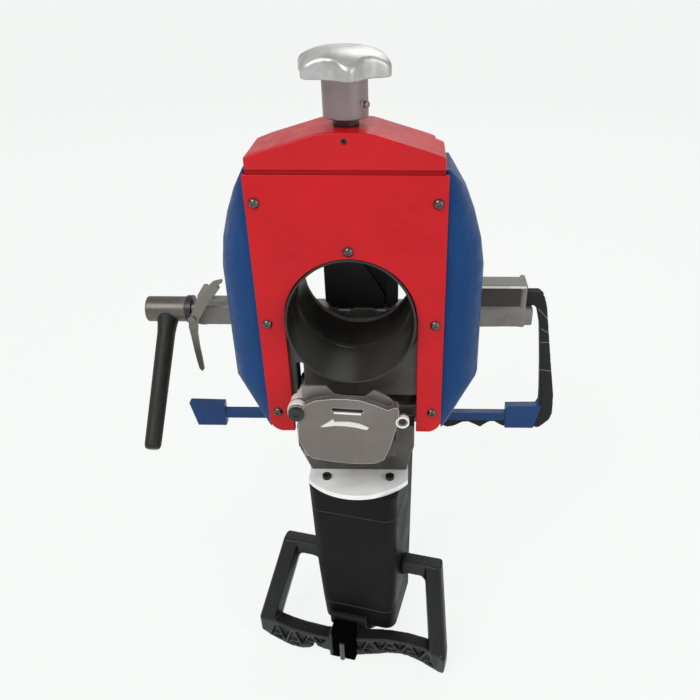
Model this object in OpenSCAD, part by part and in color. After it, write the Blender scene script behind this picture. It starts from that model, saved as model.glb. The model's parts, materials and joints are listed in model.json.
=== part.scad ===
// Orbital pipe cutting machine: a rotor with saw head that turns round a pipe held in a centring vise.
// Work frame of the modules: x to the right, y along the pipe away from the red plate, z up,
// zero on the pipe axis at the plate's front face. placed() moves it to the bench mount.

/* [Machine] */
// Height of the pipe axis above the bench face
axis_h = 228; // [222:1:260]
// Largest pipe diameter that passes the bore
pipe_d = 114; // [100:1:116]
// Distance from the red plate's face to the middle of the base plate
foot_y = 210; // [208:1:230]

/* [Journal tube] */
// Outer diameter of the tube that the rotor runs on
journal_od = 124; // [122:0.5:125]
// How far the tube stands out in front of the red plate
journal_nose = 15; // [13.5:0.5:15.5]
// Diameter of the counterbore behind the front lip
journal_mouth_d = 120; // [118:0.5:121]
// Diameter of the bore between the counterbore and the step
journal_mid_d = 118; // [117:0.5:119.5]
// Slope of the tube's front face in degrees
nose_slant = 7.4; // [6:0.2:8]
// Diameter of the mounting flange on the rear end
tube_flange_d = 158; // [154:1:166]
// Thickness of the mounting flange
tube_flange_t = 6; // [5:0.5:8]

/* [Front plate] */
// Width of the red front plate
plate_w = 177; // [172:1:182]
// Thickness of the red front plate
plate_t = 6; // [4:0.5:6.5]
// Height of the plate's top edge above the pipe axis
plate_top = 140; // [134:1:140]
// How far the plate's legs reach below the pipe axis
plate_leg = 132; // [126:1:134]
// Clear width of the arch between the legs
arch_w = 126; // [125.5:0.5:127]
// Head diameter of the plate's button screws
button_d = 10; // [8:0.5:12]

/* [Rotor housing] */
// Width of the blue housing at its widest
housing_w = 255; // [246:1:262]
// Depth of the housing behind the plate
housing_depth = 54; // [50:1:56]
// Wall of the housing shell
housing_wall = 4; // [3:0.5:5]
// Height of the housing's top above the pipe axis
housing_top = 143; // [142:0.5:143.2]
// Thickness of the bearing plate behind the front plate
frame_t = 10; // [8:0.5:11]
// Outer diameter of the bearing hub
hub_d = 146; // [142:1:147]
// Bore of the hub that the bearing bushes sit in
bush_seat_d = 136; // [132:1:138]
// Running clearance on the radius between bushes and tube
bush_fit = 0.05; // [0.03:0.01:0.1]
// Length of each bearing bush
bush_len = 12; // [8:1:16]

/* [Top cap] */
// Height of the cap's crown above the pipe axis
cap_top = 175; // [172:1:178]
// Half width of the cap's foot
cap_half = 85.5; // [82:0.5:88]
// Depth of the cap
cap_depth = 64; // [60:1:66]
// Wall of the cap
cap_wall = 5; // [3:0.5:7]

/* [Size knob] */
// Distance of the knob's axis behind the plate's face
knob_y = 30; // [28:0.5:33]
// Diameter over the star knob's lobes
knob_d = 80; // [70:1:90]
// Number of lobes
knob_lobes = 7; // [5:1:9]
// Diameter of the knob's hub
knob_hub_d = 39; // [34:1:44]
// Height of the hub's lower face above the pipe axis
knob_hub_z = 182; // [180:0.5:188]
// Diameter of the thrust collar below the hub
collar_d = 22.6; // [20:0.2:26]
// Diameter of the feed spindle
feed_d = 14; // [12:0.5:16]
// Feed per turn of the knob
feed_pitch = 2; // [1.5:0.5:3]
// Travel of the saw head towards the pipe
feed_travel = 30; // [20:1:30]

/* [Saw head] */
// Half width of the gear housing
gear_half = 61.5; // [58:0.5:61.8]
// Depth at which the gear housing ends behind the plate's face
gear_back = 88; // [84:1:90]
// Height of the gear housing's top below the pipe axis
gear_top = 122; // [120:0.5:126]
// Height of the motor flange below the pipe axis
flange_z = 205; // [200:1:212]
// Thickness of the motor flange
flange_t = 6; // [4:0.5:8]
// Half width of the motor flange
flange_half = 55; // [52:0.5:60]
// Width of the slide rails behind the plate's legs
rail_w = 9; // [7:0.5:9.2]
// Width over both slide rails
rail_span = 172; // [168:1:172]
// Play of the rails in their guides
rail_play = 0.4; // [0.3:0.05:0.6]

/* [Blade and guard] */
// Diameter of the saw blade
blade_d = 76; // [68:1:76]
// Thickness of the saw blade
blade_t = 1.6; // [1:0.1:2]
// Number of teeth
blade_teeth = 44; // [24:1:60]
// Depth of the teeth
tooth_h = 2; // [1:0.1:3]
// Sideways place of the blade's axis
blade_x = -5; // [-8:0.5:0]
// Height of the blade's axis below the pipe axis
blade_z = 109; // [108.5:0.5:110]
// Diameter of the arbor
arbor_d = 16; // [12:0.5:18]
// Sideways place of the guard's pivot
pivot_x = -54; // [-55:0.5:-53.5]
// Height of the guard's pivot below the pipe axis
pivot_z = 86.5; // [86:0.5:88]
// Diameter of the guard's pivot pin
pivot_d = 8; // [6:0.5:8.5]
// Thickness of the guard
guard_t = 7; // [5:0.5:8]

/* [Motor] */
// Width of the motor body below the flange
motor_w = 106; // [100:1:108]
// Width of the motor body where its taper starts
motor_mid_w = 101; // [98:1:104]
// Width of the motor body at its lower end
motor_low_w = 95; // [90:1:97]
// Length of the motor body above its taper
motor_mid_len = 128; // [110:1:140]
// Corner radius of the motor body
motor_corner = 28; // [20:1:34]
// Distance of the motor's axis behind the plate's face
motor_y = 38; // [36:0.5:40]
// Length of the motor body
motor_len = 189; // [170:1:200]
// Turn of the motor about its own axis in degrees
motor_clock = -13; // [-16:0.5:-10]
// Length of the motor's end cap
end_cap_len = 20; // [14:1:24]

/* [Motor handle] */
// Width of the handle frame over its top corners
frame_top_w = 202; // [194:1:208]
// Width of the handle frame over its grip
frame_low_w = 240; // [232:1:246]
// Lean of the handle frame from the motor's axis in degrees
frame_lean = 31; // [28:0.5:34]
// Distance along the frame from its top corners to the grip
frame_drop = 104; // [98:1:108]
// Depth of the handle frame's bars
frame_thick = 17; // [14:0.5:19]
// Width of the handle frame's side bars
frame_bar_w = 20; // [16:0.5:22]
// Height of the handle frame's arms
frame_arm_h = 19; // [15:0.5:22]

/* [Vise] */
// Half length of the vise beam
beam_half = 190; // [186:1:194]
// Distance of the beam's front face behind the plate's face
beam_y = 136; // [134:1:137]
// Depth of the beam
beam_depth = 36; // [34:1:40]
// Height of the clamp screw below the pipe axis
screw_z = 69.2; // [68.8:0.2:70]
// Diameter of the clamp screw
screw_d = 15; // [13:0.5:15.5]
// Running clearance on the radius of the clamp screw
screw_fit = 0.08; // [0.05:0.01:0.1]
// Pitch of the clamp screw's threads
screw_pitch = 4; // [3:0.5:5]
// Length of each jaw's travel
jaw_travel = 66; // [50:1:66]
// Distance from the pipe axis to a closed jaw's back
jaw_len = 42; // [40:1:44]
// Depth of both jaws together along the pipe
jaw_depth = 28; // [22:1:28]
// Angle of the jaws' notches in degrees
jaw_angle = 120; // [112:1:124]
// Play between neighbouring jaw plates
jaw_play = 0.25; // [0.15:0.05:0.4]
// Distance of the wrench's plane from the end of the beam
wrench_gap = 40; // [38:1:46]
// Length of the wrench handle from the screw's axis
wrench_len = 167; // [120:1:170]
// Diameter of the wrench handle
wrench_d = 17.5; // [14:0.5:18]
// Lean of the wrench handle from straight down in degrees
wrench_lean = 49; // [30:1:60]

/* [Foot] */
// Length of the base plate
base_len = 120; // [110:1:150]
// Depth of the base plate
base_depth = 100; // [96:1:112]
// Thickness of the base plate
base_t = 12; // [8:0.5:14]
// Diameter of the bench bolt holes
bench_hole_d = 9; // [7:0.5:11]
// Spacing of the bench bolts along the base plate
bench_x = 96; // [86:1:98]
// Spacing of the bench bolts across the base plate
bench_y = 76; // [70:1:78]
// Half length of the blue foot bar over its pads
foot_half = 220.5; // [210:0.5:220.5]
// Height of the foot bar
foot_bar_h = 11; // [8:0.5:12]
// Length of a foot pad
foot_pad_len = 43; // [34:1:50]

/* [Hidden] */

$fn = 64;
eps = 0.01;
seat = 0.05;
journal_r = journal_od / 2;
bore_r = pipe_d / 2;
tube_flange_y = 94;
tube_end = tube_flange_y + tube_flange_t;
ring_plate_t = 12;
ring_back = tube_end + ring_plate_t;
plate_half = plate_w / 2;
arch_r = arch_w / 2;
housing_half = housing_w / 2;
housing_y0 = plate_t;
housing_y1 = plate_t + housing_depth;
frame_y0 = housing_y0 + 1;
frame_y1 = frame_y0 + frame_t;
hub_y1 = housing_y1 - 3;
rail_out = rail_span / 2;
rail_in = rail_out - rail_w;
rail_y0 = 20;
rail_y1 = 44;
yoke_z0 = 78;
yoke_z1 = 96;
lug_z = 132;
lug_h = 20;
cap_foot = housing_top + 0.5;
feed_low = 76;
star_z = 212;
blade_y = -22;
guard_y0 = -32;
guard_y1 = guard_y0 + guard_t;
back_y0 = -19;
back_y1 = -16;
flange_low = flange_z + flange_t;
motor_end = flange_low + motor_len;
motor_shift = 3;
cap_end = motor_end + end_cap_len;
frame_z = 341;
frame_y = -5.5;
grip_y = frame_y - frame_drop * sin(frame_lean);
grip_z = frame_z + frame_drop * cos(frame_lean);
bracket_h = max(16, grip_z + 11 - cap_end);
floor_z = 88;
floor_t = 8;
lip_top = 57.5;
lip_mid = 61;
lip_t = 5;
lip_low = 82;
beam_back = beam_y + beam_depth;
screw_y = beam_y + 15;
screw_end = beam_half - 1;
wrench_x = beam_half + wrench_gap;
socket_r = 15;
socket_x0 = wrench_x - 23;
socket_x1 = wrench_x + 24;
jaw_y0 = beam_y + lip_t + 0.3;
jaw_y1 = jaw_y0 + jaw_depth;
jaw_low = 60;
jaw_up = 45;
jaw_back = 13;
jaw_arm = min(jaw_up / tan(jaw_angle / 2), jaw_len - jaw_back - 3);
tongue_h = 14;
carriage_len = 28;
sill_z = 76;
sill_half = 58;
carriage_y0 = beam_y + lip_t + 0.5;
carriage_depth = beam_depth - 6 - lip_t - 1;
column_half = 36;
column_y0 = beam_y + 6;
column_y1 = foot_y - 10;
base_top = axis_h - base_t;
bar_y1 = column_y0;
bar_y0 = column_y0 - 9;
handle_y0 = bar_y1 + 1.8;
handle_y1 = handle_y0 + 13;
lever_x = -(beam_half + 6);
lever_z = -70;
lever_y0 = 125;
lever_y1 = 130.5;

c_red = [0.78, 0.14, 0.17];
c_blue = [0.11, 0.29, 0.55];
c_cast = [0.5, 0.49, 0.47];
c_steel = [0.62, 0.62, 0.6];
c_black = [0.08, 0.08, 0.08];
c_silver = [0.78, 0.78, 0.78];
c_bronze = [0.66, 0.5, 0.26];

module placed() {
    translate([0, -foot_y, axis_h]) children();
}

// Turns a profile in x and z into a body along the pipe, from y0 to y1
module along_pipe(y0, y1) {
    translate([0, y1, 0]) rotate([90, 0, 0]) linear_extrude(y1 - y0) children();
}

// Round body along the pipe at x, z
module pipe_rod(x, z, y0, y1, r) {
    translate([x, y0, z]) rotate([-90, 0, 0]) cylinder(h = y1 - y0, r = r);
}

// Revolved body about an axis along the pipe, profile given as radius and y
module pipe_turn(x, z) {
    translate([x, 0, z]) rotate([-90, 0, 0]) rotate_extrude($fn = 96) children();
}

// Turns a profile in y and z into a body across the pipe, from x0 to x1
module across(x0, x1) {
    translate([x0, 0, 0]) rotate([90, 0, 90]) linear_extrude(x1 - x0) children();
}

// Button head screw pointing along the pipe, head towards the viewer
module button_screw(x, z, y, d, len) {
    translate([x, y, z]) rotate([-90, 0, 0]) rotate_extrude($fn = 32) difference() {
        union() {
            polygon([[0, -0.32 * d], [0.22 * d, -0.3 * d], [0.38 * d, -0.2 * d], [0.47 * d, -0.08 * d],
                [0.5 * d, 0], [0, 0]]);
            translate([0, -0.1]) square([0.25 * d, len + 0.1]);
        }
        translate([-1, -0.4 * d]) square([1 + 0.17 * d, 0.24 * d]);
    }
}

// Socket head screw along z, head up, its seat at z
module cap_screw_z(x, y, z, d, head_h, len) {
    translate([x, y, z]) difference() {
        union() {
            cylinder(h = head_h, r = 0.8 * d, $fn = 32);
            translate([0, 0, -len]) cylinder(h = len + 0.5, r = d / 2, $fn = 32);
        }
        translate([0, 0, head_h - 0.5 * d]) cylinder(h = d, r = 0.42 * d, $fn = 6);
    }
}

plate_holes = [[-80, 115], [80, 115], [-80, -4.7], [80, -4.7], [-79, -107.6], [79, -107.6], [0, 70]];

module arch_cut(r, drop) {
    circle(r = r, $fn = 96);
    translate([-r, -drop]) square([2 * r, drop]);
}

module front_plate() {
    r_leg = 15;
    placed() color(c_red) difference() {
        along_pipe(0, plate_t) difference() {
            hull() {
                translate([-plate_half, 0]) square([plate_w, plate_top]);
                translate([-plate_half + r_leg, -plate_leg + r_leg]) circle(r = r_leg, $fn = 32);
                translate([plate_half - r_leg, -plate_leg + r_leg]) circle(r = r_leg, $fn = 32);
            }
            arch_cut(arch_r, plate_leg + 10);
        }
        for (p = plate_holes) pipe_rod(p[0], p[1], -1, plate_t + 1, 0.25 * button_d + 0.3, $fn = 32);
    }
}

module plate_screws() {
    placed() color(c_steel) for (p = plate_holes) {
        button_screw(p[0], p[1], 0, button_d, plate_t + 4.5);
    }
}

// Outline of the housing at a share of its full flank, 0 at the plate and 1 at the widest
module housing_outline(k) {
    w = plate_half + 1.5 + (housing_half - plate_half - 1.5) * k;
    s = (w - plate_half) / (housing_half - plate_half);
    polygon([for (m = [-1, 1]) for (p = (m < 0) ? housing_side : housing_back)
        [m * (plate_half + (p[0] - plate_half) * s), p[1]]]);
}

housing_side = [[100, -130], [127.5, -83], [127, 40], [123, 67], [116, 92], [107, 115], [90, housing_top]];
housing_back = [for (i = [6:-1:0]) housing_side[i]];

module housing_form(inset, y0, y1) {
    stations = [[0, 0.02], [4, 0.26], [10, 0.52], [18, 0.76], [28, 0.93], [38, 1], [50, 1], [54, 0.985]];
    hull() for (s = stations) {
        y = housing_y0 + s[0] * housing_depth / 54;
        yy = max(y0, min(y1, y));
        along_pipe(yy, yy + eps) offset(delta = -inset) housing_outline(s[1] * housing_half / 127.5);
    }
}

module rotor_housing() {
    cut_half = rail_out + 4;
    placed() color(c_blue) difference() {
        housing_form(0, housing_y0, housing_y1 - eps);
        difference() {
            housing_form(housing_wall, housing_y0 - 1, housing_y1 - housing_wall);
            along_pipe(housing_y1 - housing_wall, housing_y1 + 1) square(1);
        }
        along_pipe(housing_y0 - 1, frame_y1 + 0.3) difference() {
            translate([-plate_half - 0.3, -plate_leg - 20])
                square([plate_w + 0.6, plate_leg + 20 + plate_top]);
        }
        along_pipe(housing_y0 + 2, housing_y1 + 1) union() {
            circle(r = hub_d / 2 + 0.4, $fn = 96);
            translate([-gear_half - 1.5, -180]) square([2 * gear_half + 3, 180]);
        }
        along_pipe(housing_y0 + 2, housing_y1 - housing_wall) {
            translate([-cut_half, -180]) square([2 * cut_half, 120]);
        }
        translate([0, knob_y, 100]) cylinder(h = 60, r = 12, $fn = 48);
    }
}

module rotor_frame() {
    placed() color(c_cast) difference() {
        union() {
            along_pipe(frame_y0, frame_y1) difference() {
                translate([-84, -128]) square([168, 128 + plate_top - 4]);
                translate([-arch_r - 1, -140]) square([arch_w + 2, 140]);
            }
            pipe_rod(0, 0, frame_y0, hub_y1, hub_d / 2, $fn = 96);
            along_pipe(frame_y0, frame_y0 + 7) difference() {
                translate([-arch_r - 2, -90]) square([arch_w + 4, 90]);
                translate([pivot_x - pivot_d / 2, -96])
                    square([pivot_d, 96 - pivot_z + feed_travel + 4.5]);
            }
            along_pipe(frame_y1 - 4, frame_y1) difference() {
                translate([-rail_out - 7, -78]) square([rail_span + 14, 170]);
                translate([-arch_r - 1, -140]) square([arch_w + 2, 140]);
            }
            for (m = [-1, 1]) {
                along_pipe(frame_y0, rail_y1 + 2) translate([m > 0 ? arch_r + 1 : -arch_r - 5, -78])
                    square([4, 60]);
                along_pipe(frame_y1 - 1, rail_y1 + 2) {
                    translate([m > 0 ? rail_out + rail_play : -rail_out - rail_play - 6, -78])
                        square([6, 150]);
                }
                along_pipe(frame_y1 - 1, rail_y1 + 2) {
                    translate([m > 0 ? rail_in - rail_play - 5 : -rail_in + rail_play, -78])
                        square([5, 58]);
                }
            }
            for (a = [35, 65, 115, 145]) rotate([0, -a, 0]) translate([hub_d / 2 - 2, frame_y0 + 2, -3]) {
                cube([a == 65 || a == 115 ? 12 : 18, 32, 6]);
            }
        }
        pipe_rod(0, 0, frame_y0 + 4, hub_y1 + 1, bush_seat_d / 2, $fn = 96);
        pipe_rod(0, 0, frame_y0 - 1, frame_y0 + 5, bush_seat_d / 2 - 1, $fn = 96);
        for (p = plate_holes) pipe_rod(p[0], p[1], frame_y0 - 1, frame_y0 + 3.8, 0.25 * button_d + seat,
            $fn = 32);
    }
}

module bush(y0) {
    placed() color(c_bronze) pipe_turn(0, 0) {
        translate([journal_r + bush_fit, y0])
            square([bush_seat_d / 2 - seat - journal_r - bush_fit, bush_len]);
    }
}

module bearing_front() {
    bush(frame_y0 + 4);
}

module bearing_rear() {
    bush(hub_y1 - bush_len);
}

module retaining_ring() {
    placed() color(c_black) pipe_turn(0, 0) {
        translate([journal_r + seat, plate_t + 1.2]) square([bush_seat_d / 2 - 1.6 - journal_r, 3]);
    }
}

module journal_tube() {
    y0 = -journal_nose;
    placed() color(c_black) difference() {
        pipe_turn(0, 0) polygon([[journal_mouth_d / 2 + 0.6, y0], [journal_r - 0.5, y0],
            [journal_r, y0 + 0.5],
            [journal_r, tube_flange_y], [tube_flange_d / 2, tube_flange_y], [tube_flange_d / 2, tube_end],
            [bore_r, tube_end], [bore_r, 50], [journal_mid_d / 2, 48], [journal_mid_d / 2, 22],
            [journal_mouth_d / 2, 20], [journal_mouth_d / 2, y0 + 0.6]]);
        for (a = [30:60:330]) pipe_rod(tube_pcd * cos(a), tube_pcd * sin(a), tube_flange_y - 1,
            tube_end + 1, 3.3, $fn = 32);
        translate([0, y0, -journal_r]) rotate([-nose_slant, 0, 0]) translate([-100, -80, -40])
            cube([200, 80, 240]);
    }
}

tube_pcd = (journal_r + tube_flange_d / 2) / 2;

module tube_screws() {
    placed() color(c_steel) for (a = [30:60:330]) {
        translate([tube_pcd * cos(a), 0, tube_pcd * sin(a)]) difference() {
            union() {
                pipe_rod(0, 0, tube_flange_y - 5, tube_flange_y, 5, $fn = 32);
                pipe_rod(0, 0, tube_flange_y - 1, tube_end + 9, 3, $fn = 32);
            }
            pipe_rod(0, 0, tube_flange_y - 6, tube_flange_y - 2, 2.5, $fn = 6);
        }
    }
}

module cap_profile() {
    k = (cap_top - cap_foot) / 31.5;
    s = cap_half / 85.5;
    polygon([[-85.5 * s, cap_foot], [85.5 * s, cap_foot], [85.5 * s, cap_foot + 11 * k],
        [70 * s, cap_foot + 16.8 * k],
        [46 * s, cap_foot + 24 * k], [27 * s, cap_foot + 29.7 * k], [22 * s, cap_top - 0.4 * k],
        [16 * s, cap_top],
        [-16 * s, cap_top], [-22 * s, cap_top - 0.4 * k], [-27 * s, cap_foot + 29.7 * k],
        [-46 * s, cap_foot + 24 * k], [-70 * s, cap_foot + 16.8 * k], [-85.5 * s, cap_foot + 11 * k]]);
}

module top_cap() {
    placed() color(c_red) difference() {
        along_pipe(0, cap_depth) cap_profile();
        along_pipe(cap_wall, cap_depth - cap_wall) difference() {
            intersection() {
                offset(delta = -cap_wall) cap_profile();
                translate([-200, cap_foot + 3]) square([400, 100]);
            }
            translate([-17, cap_foot]) square([34, 60]);
            for (m = [-1, 1]) translate([m * 62 - 7, cap_foot]) square([14, 60]);
        }
        translate([0, knob_y, cap_foot - 1]) cylinder(h = 60, r = feed_d / 2 + 3, $fn = 48);
        pipe_rod(0, 168, -1, 8, 2.6, $fn = 32);
        translate([78, cap_depth - 9, cap_foot - 1]) cube([20, 20, 40]);
    }
}

module cap_screw() {
    placed() color(c_black) difference() {
        pipe_rod(0, 168, 0.4, 7.8, 2.5, $fn = 32);
        pipe_rod(0, 168, 0, 3, 1.3, $fn = 6);
    }
}

module cap_bush() {
    placed() color(c_bronze) translate([0, knob_y, 0]) difference() {
        translate([0, 0, cap_foot]) cylinder(h = cap_top - cap_foot, r = feed_d / 2 + 3 - seat, $fn = 48);
        translate([0, 0, cap_foot - 1]) cylinder(h = 60, r = feed_d / 2 + 0.06, $fn = 48);
    }
}

module thrust_collar() {
    placed() color(c_black) translate([0, knob_y, 0]) difference() {
        translate([0, 0, cap_top + 0.3])
            cylinder(h = knob_hub_z - cap_top - 0.3, r = collar_d / 2, $fn = 64);
        translate([0, 0, cap_top]) cylinder(h = 30, r = feed_d / 2 + seat, $fn = 48);
    }
}

module feed_spindle() {
    placed() color(c_steel) translate([0, knob_y, 0]) {
        translate([0, 0, feed_low]) cylinder(h = star_z + 4 - feed_low, r = feed_d / 2, $fn = 48);
    }
}

// Lobed outline of the star knob
module star_outline(r) {
    n = knob_lobes;
    deep = 0.11;
    polygon([for (i = [0:n * 14 - 1]) let (a = i * 360 / (n * 14), c = cos(n * a))
        [r * (1 - deep * (1 - c) / 2 - deep * 0.35 * (1 - c) * (1 - c) / 4) * cos(a + 12),
            r * (1 - deep * (1 - c) / 2 - deep * 0.35 * (1 - c) * (1 - c) / 4) * sin(a + 12)]]);
}

module star_knob() {
    r = knob_d / 2;
    placed() color(c_silver) translate([0, knob_y, 0]) difference() {
        union() {
            translate([0, 0, knob_hub_z]) cylinder(h = star_z - knob_hub_z + 6, r = knob_hub_d / 2,
                $fn = 64);
            hull() {
                translate([0, 0, star_z]) linear_extrude(0.5) scale(0.62) star_outline(r);
                translate([0, 0, star_z + 6]) linear_extrude(0.5) scale(0.93) star_outline(r);
            }
            translate([0, 0, star_z + 5]) linear_extrude(2) scale(0.93) star_outline(r);
            translate([0, 0, star_z + 7]) linear_extrude(8.5) star_outline(r);
            translate([0, 0, star_z + 15.5]) linear_extrude(2) scale(0.96) star_outline(r);
            translate([0, 0, star_z + 17]) rotate_extrude($fn = 64) {
                polygon([[0, 0], [0.84 * r, 0], [0.8 * r, 1.4], [0.62 * r, 3.6], [0.42 * r, 5.6],
                    [0.3 * r, 6.6],
                    [0.12 * r, 7], [0, 7]]);
            }
        }
        translate([0, 0, knob_hub_z - 1])
            cylinder(h = star_z + 4.2 - knob_hub_z + 1, r = feed_d / 2 + seat, $fn = 48);
        translate([0, 0, knob_hub_z + 10]) rotate([0, 90, 36]) cylinder(h = 40, r = 2.55, $fn = 32);
    }
}

module knob_set_screw() {
    placed() color(c_black) translate([0, knob_y, knob_hub_z + 10]) rotate([0, 90, 36]) difference() {
        translate([0, 0, feed_d / 2 + 0.1]) cylinder(h = 10, r = 2.5, $fn = 32);
        translate([0, 0, feed_d / 2 + 7]) cylinder(h = 6, r = 1.3, $fn = 6);
    }
}

module slide_yoke() {
    placed() color(c_cast) difference() {
        along_pipe(rail_y0, rail_y1) difference() {
            translate([-rail_out, -lug_z]) square([rail_span, lug_z + yoke_z1]);
            translate([-rail_in, -lug_z - 1]) square([2 * rail_in, lug_z + 1 + yoke_z0 - 8]);
            hull() {
                translate([-rail_in + 8, yoke_z0 - 8]) circle(r = 8, $fn = 32);
                translate([rail_in - 8, yoke_z0 - 8]) circle(r = 8, $fn = 32);
            }
        }
        translate([0, knob_y, yoke_z0 - 1]) cylinder(h = 30, r = feed_d / 2 + 4, $fn = 48);
        for (m = [-1, 1]) translate([m * rail_out, 32, -lug_z + lug_h / 2]) rotate([0, m * -90, 0]) {
            translate([0, 0, -1]) cylinder(h = rail_w + 2, r = 3.3, $fn = 32);
        }
    }
}

module yoke_nut() {
    placed() color(c_bronze) translate([0, knob_y, 0]) difference() {
        union() {
            translate([0, 0, yoke_z0]) cylinder(h = yoke_z1 - yoke_z0, r = feed_d / 2 + 4 - seat, $fn = 48);
            translate([0, 0, yoke_z1]) cylinder(h = 4, r = feed_d / 2 + 5.5, $fn = 48);
        }
        translate([0, 0, yoke_z0 - 1]) cylinder(h = 30, r = feed_d / 2 + 0.06, $fn = 48);
    }
}

module yoke_screws() {
    placed() color(c_steel) for (m = [-1, 1]) {
        translate([m * rail_out, 32, -lug_z + lug_h / 2]) rotate([0, m * 90, 0]) difference() {
            union() {
                translate([0, 0, 0]) cylinder(h = 3.5, r = 5, $fn = 32);
                translate([0, 0, -rail_w - 10]) cylinder(h = rail_w + 10.5, r = 3, $fn = 32);
            }
            translate([0, 0, 1.5]) cylinder(h = 4, r = 2, $fn = 6);
        }
    }
}

module gear_housing() {
    placed() color(c_cast) difference() {
        union() {
            along_pipe(20, gear_back) polygon([[-gear_half, -gear_top - 8], [-gear_half + 10, -gear_top],
                [gear_half - 10, -gear_top], [gear_half, -gear_top - 8], [gear_half, -152],
                [flange_half - 1.5, -flange_z], [-flange_half + 1.5, -flange_z], [-gear_half, -152]]);
            hull() {
                along_pipe(2, 21) polygon([[-gear_half, -gear_top - 4], [gear_half, -gear_top - 4],
                    [gear_half, -154], [-gear_half, -154]]);
                along_pipe(20, 22) translate([-flange_half + 1.5, -flange_z])
                    square([2 * flange_half - 3, 4]);
            }
            hull() {
                pipe_rod(blade_x, -blade_z, -14, 6, 14, $fn = 32);
                along_pipe(-14, 6) translate([-42, -154]) square([84, 22]);
            }
            along_pipe(back_y1, -13) translate([-42, -150]) square([84, 18]);
            along_pipe(rail_y0, rail_y1) translate([-rail_in, -lug_z]) square([2 * rail_in, lug_h]);
            hull() {
                pipe_rod(pivot_x, -pivot_z, 28, 38, 4.4, $fn = 32);
                along_pipe(28, 38) translate([pivot_x - 6, -gear_top - 12]) square([12, 10]);
            }
        }
        pipe_rod(blade_x, -blade_z, -20, 5, arbor_d / 2 + 0.06, $fn = 48);
        pipe_rod(pivot_x, -pivot_z, 20, 50, pivot_d / 2 - 1 + seat, $fn = 32);
        for (m = [-1, 1]) translate([m * (rail_in + 1), 32, -lug_z + lug_h / 2]) rotate([0, m * -90, 0]) {
            cylinder(h = 12, r = 3 + seat, $fn = 32);
        }
        for (p = flange_holes) translate([p[0], p[1], -flange_z - 1])
            cylinder(h = 14, r = 3 + seat, $fn = 32);
        for (p = back_holes) pipe_rod(p[0], p[1], back_y1 - 1, -5, 2 + seat, $fn = 32);
    }
}

flange_holes = [[-35, 28], [35, 28], [-35, 76], [35, 76]];
front_flange_holes = [[-35, 10], [35, 10]];
back_holes = [[-26, -140], [26, -140]];

module guard_plate() {
    placed() color(c_steel) difference() {
        along_pipe(back_y0, back_y1) polygon([[-52, -150], [43, -150], [43, -84], [36, -76.3], [27, -70.5],
            [21.4, -67.6],
            [12.5, -75.4], [-7, -75], [-18, -72.7], [-25, -63.4], [-49, -62.4], [-49, -78.5],
            [-54, -78.5], [-61, -81.5], [-61.5, -92], [-54, -96]]);
        pipe_rod(blade_x, -blade_z, back_y0 - 1, back_y1 + 1, arbor_d / 2 + 1, $fn = 48);
        pipe_rod(pivot_x, -pivot_z, back_y0 - 1, back_y1 + 1, pivot_d / 2 + seat, $fn = 32);
        for (p = back_holes) pipe_rod(p[0], p[1], back_y0 - 1, back_y1 + 1, 2 + seat, $fn = 32);
    }
}

module guard_pin() {
    placed() color(c_steel) union() {
        pipe_rod(pivot_x, -pivot_z, guard_y0 - 0.2, 2, pivot_d / 2, $fn = 48);
        pipe_rod(pivot_x, -pivot_z, back_y1, -8, pivot_d / 2 + 4.4, $fn = 48);
        pipe_rod(pivot_x, -pivot_z, -9, 5.2, pivot_d / 2 + 0.5, $fn = 48);
        pipe_rod(pivot_x, -pivot_z, -9, 46, pivot_d / 2 - 1, $fn = 48);
        for (p = back_holes) {
            pipe_rod(p[0], p[1], back_y0 - 1.2, back_y0, 3.4, $fn = 32);
            pipe_rod(p[0], p[1], back_y0 - 0.5, -6, 2, $fn = 32);
        }
    }
}

module guard_outline() {
    polygon([[-50.5, -88], [-45.3, -76.3], [-34.8, -70.9], [-19.3, -68.9], [-5.8, -68.7], [8.5, -70.2],
        [22.9, -75.6],
        [35.3, -81.6], [41.5, -78.6], [44.6, -78.6], [46.2, -84], [45.6, -93], [43.6, -102.5], [38, -124],
        [34, -135], [30.5, -143.5], [22.5, -148], [9, -148.9], [-4, -148.6], [-17, -147], [-29.3, -144.9],
        [-41, -142.5], [-46.5, -137.5], [-50.6, -128.9], [-54.3, -118.8], [-53.4, -100]]);
}

module blade_guard() {
    rim_y = back_y0 - 1.7;
    blade_reach = norm([blade_x - pivot_x, blade_z - pivot_z]) + blade_d / 2;
    placed() color(c_steel) difference() {
        union() {
            along_pipe(guard_y0, guard_y1) guard_outline();
            along_pipe(guard_y1 - 3, rim_y) difference() {
                intersection() {
                    guard_outline();
                    translate([28, -146]) square([20, 72]);
                }
                offset(delta = -2.6) guard_outline();
                translate([pivot_x, -pivot_z]) circle(r = blade_reach + 1.5, $fn = 128);
            }
            pipe_rod(pivot_x, -pivot_z, guard_y0 + 1, back_y0 - 0.5, 8.8, $fn = 48);
            pipe_rod(49.4, -96, guard_y0 + 1, guard_y1, 6.5, $fn = 48);
            translate([40, guard_y0 + 1, -101]) cube([8, guard_t - 1, 10]);
            along_pipe(guard_y0 - 1, guard_y0 + 1) guard_arrow();
        }
        pipe_rod(pivot_x, -pivot_z, guard_y0 - 1, back_y0, pivot_d / 2 + 0.06, $fn = 48);
        pipe_rod(49.4, -96, guard_y0 - 1, guard_y1 + 1, 3.8, $fn = 48);
        along_pipe(guard_y0 - 1, guard_y1 + 1) guard_slot(2.2);
        along_pipe(guard_y0 + 2.5, guard_y1 + 1) difference() {
            offset(delta = -5) guard_outline();
            translate([-70, -100]) square([25, 30]);
            guard_slot(5);
        }
    }
}

module guard_slot(r) {
    hull() {
        translate([-17.6, -81.3]) circle(r = r, $fn = 24);
        translate([9.4, -82.9]) circle(r = r, $fn = 24);
    }
}

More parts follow.
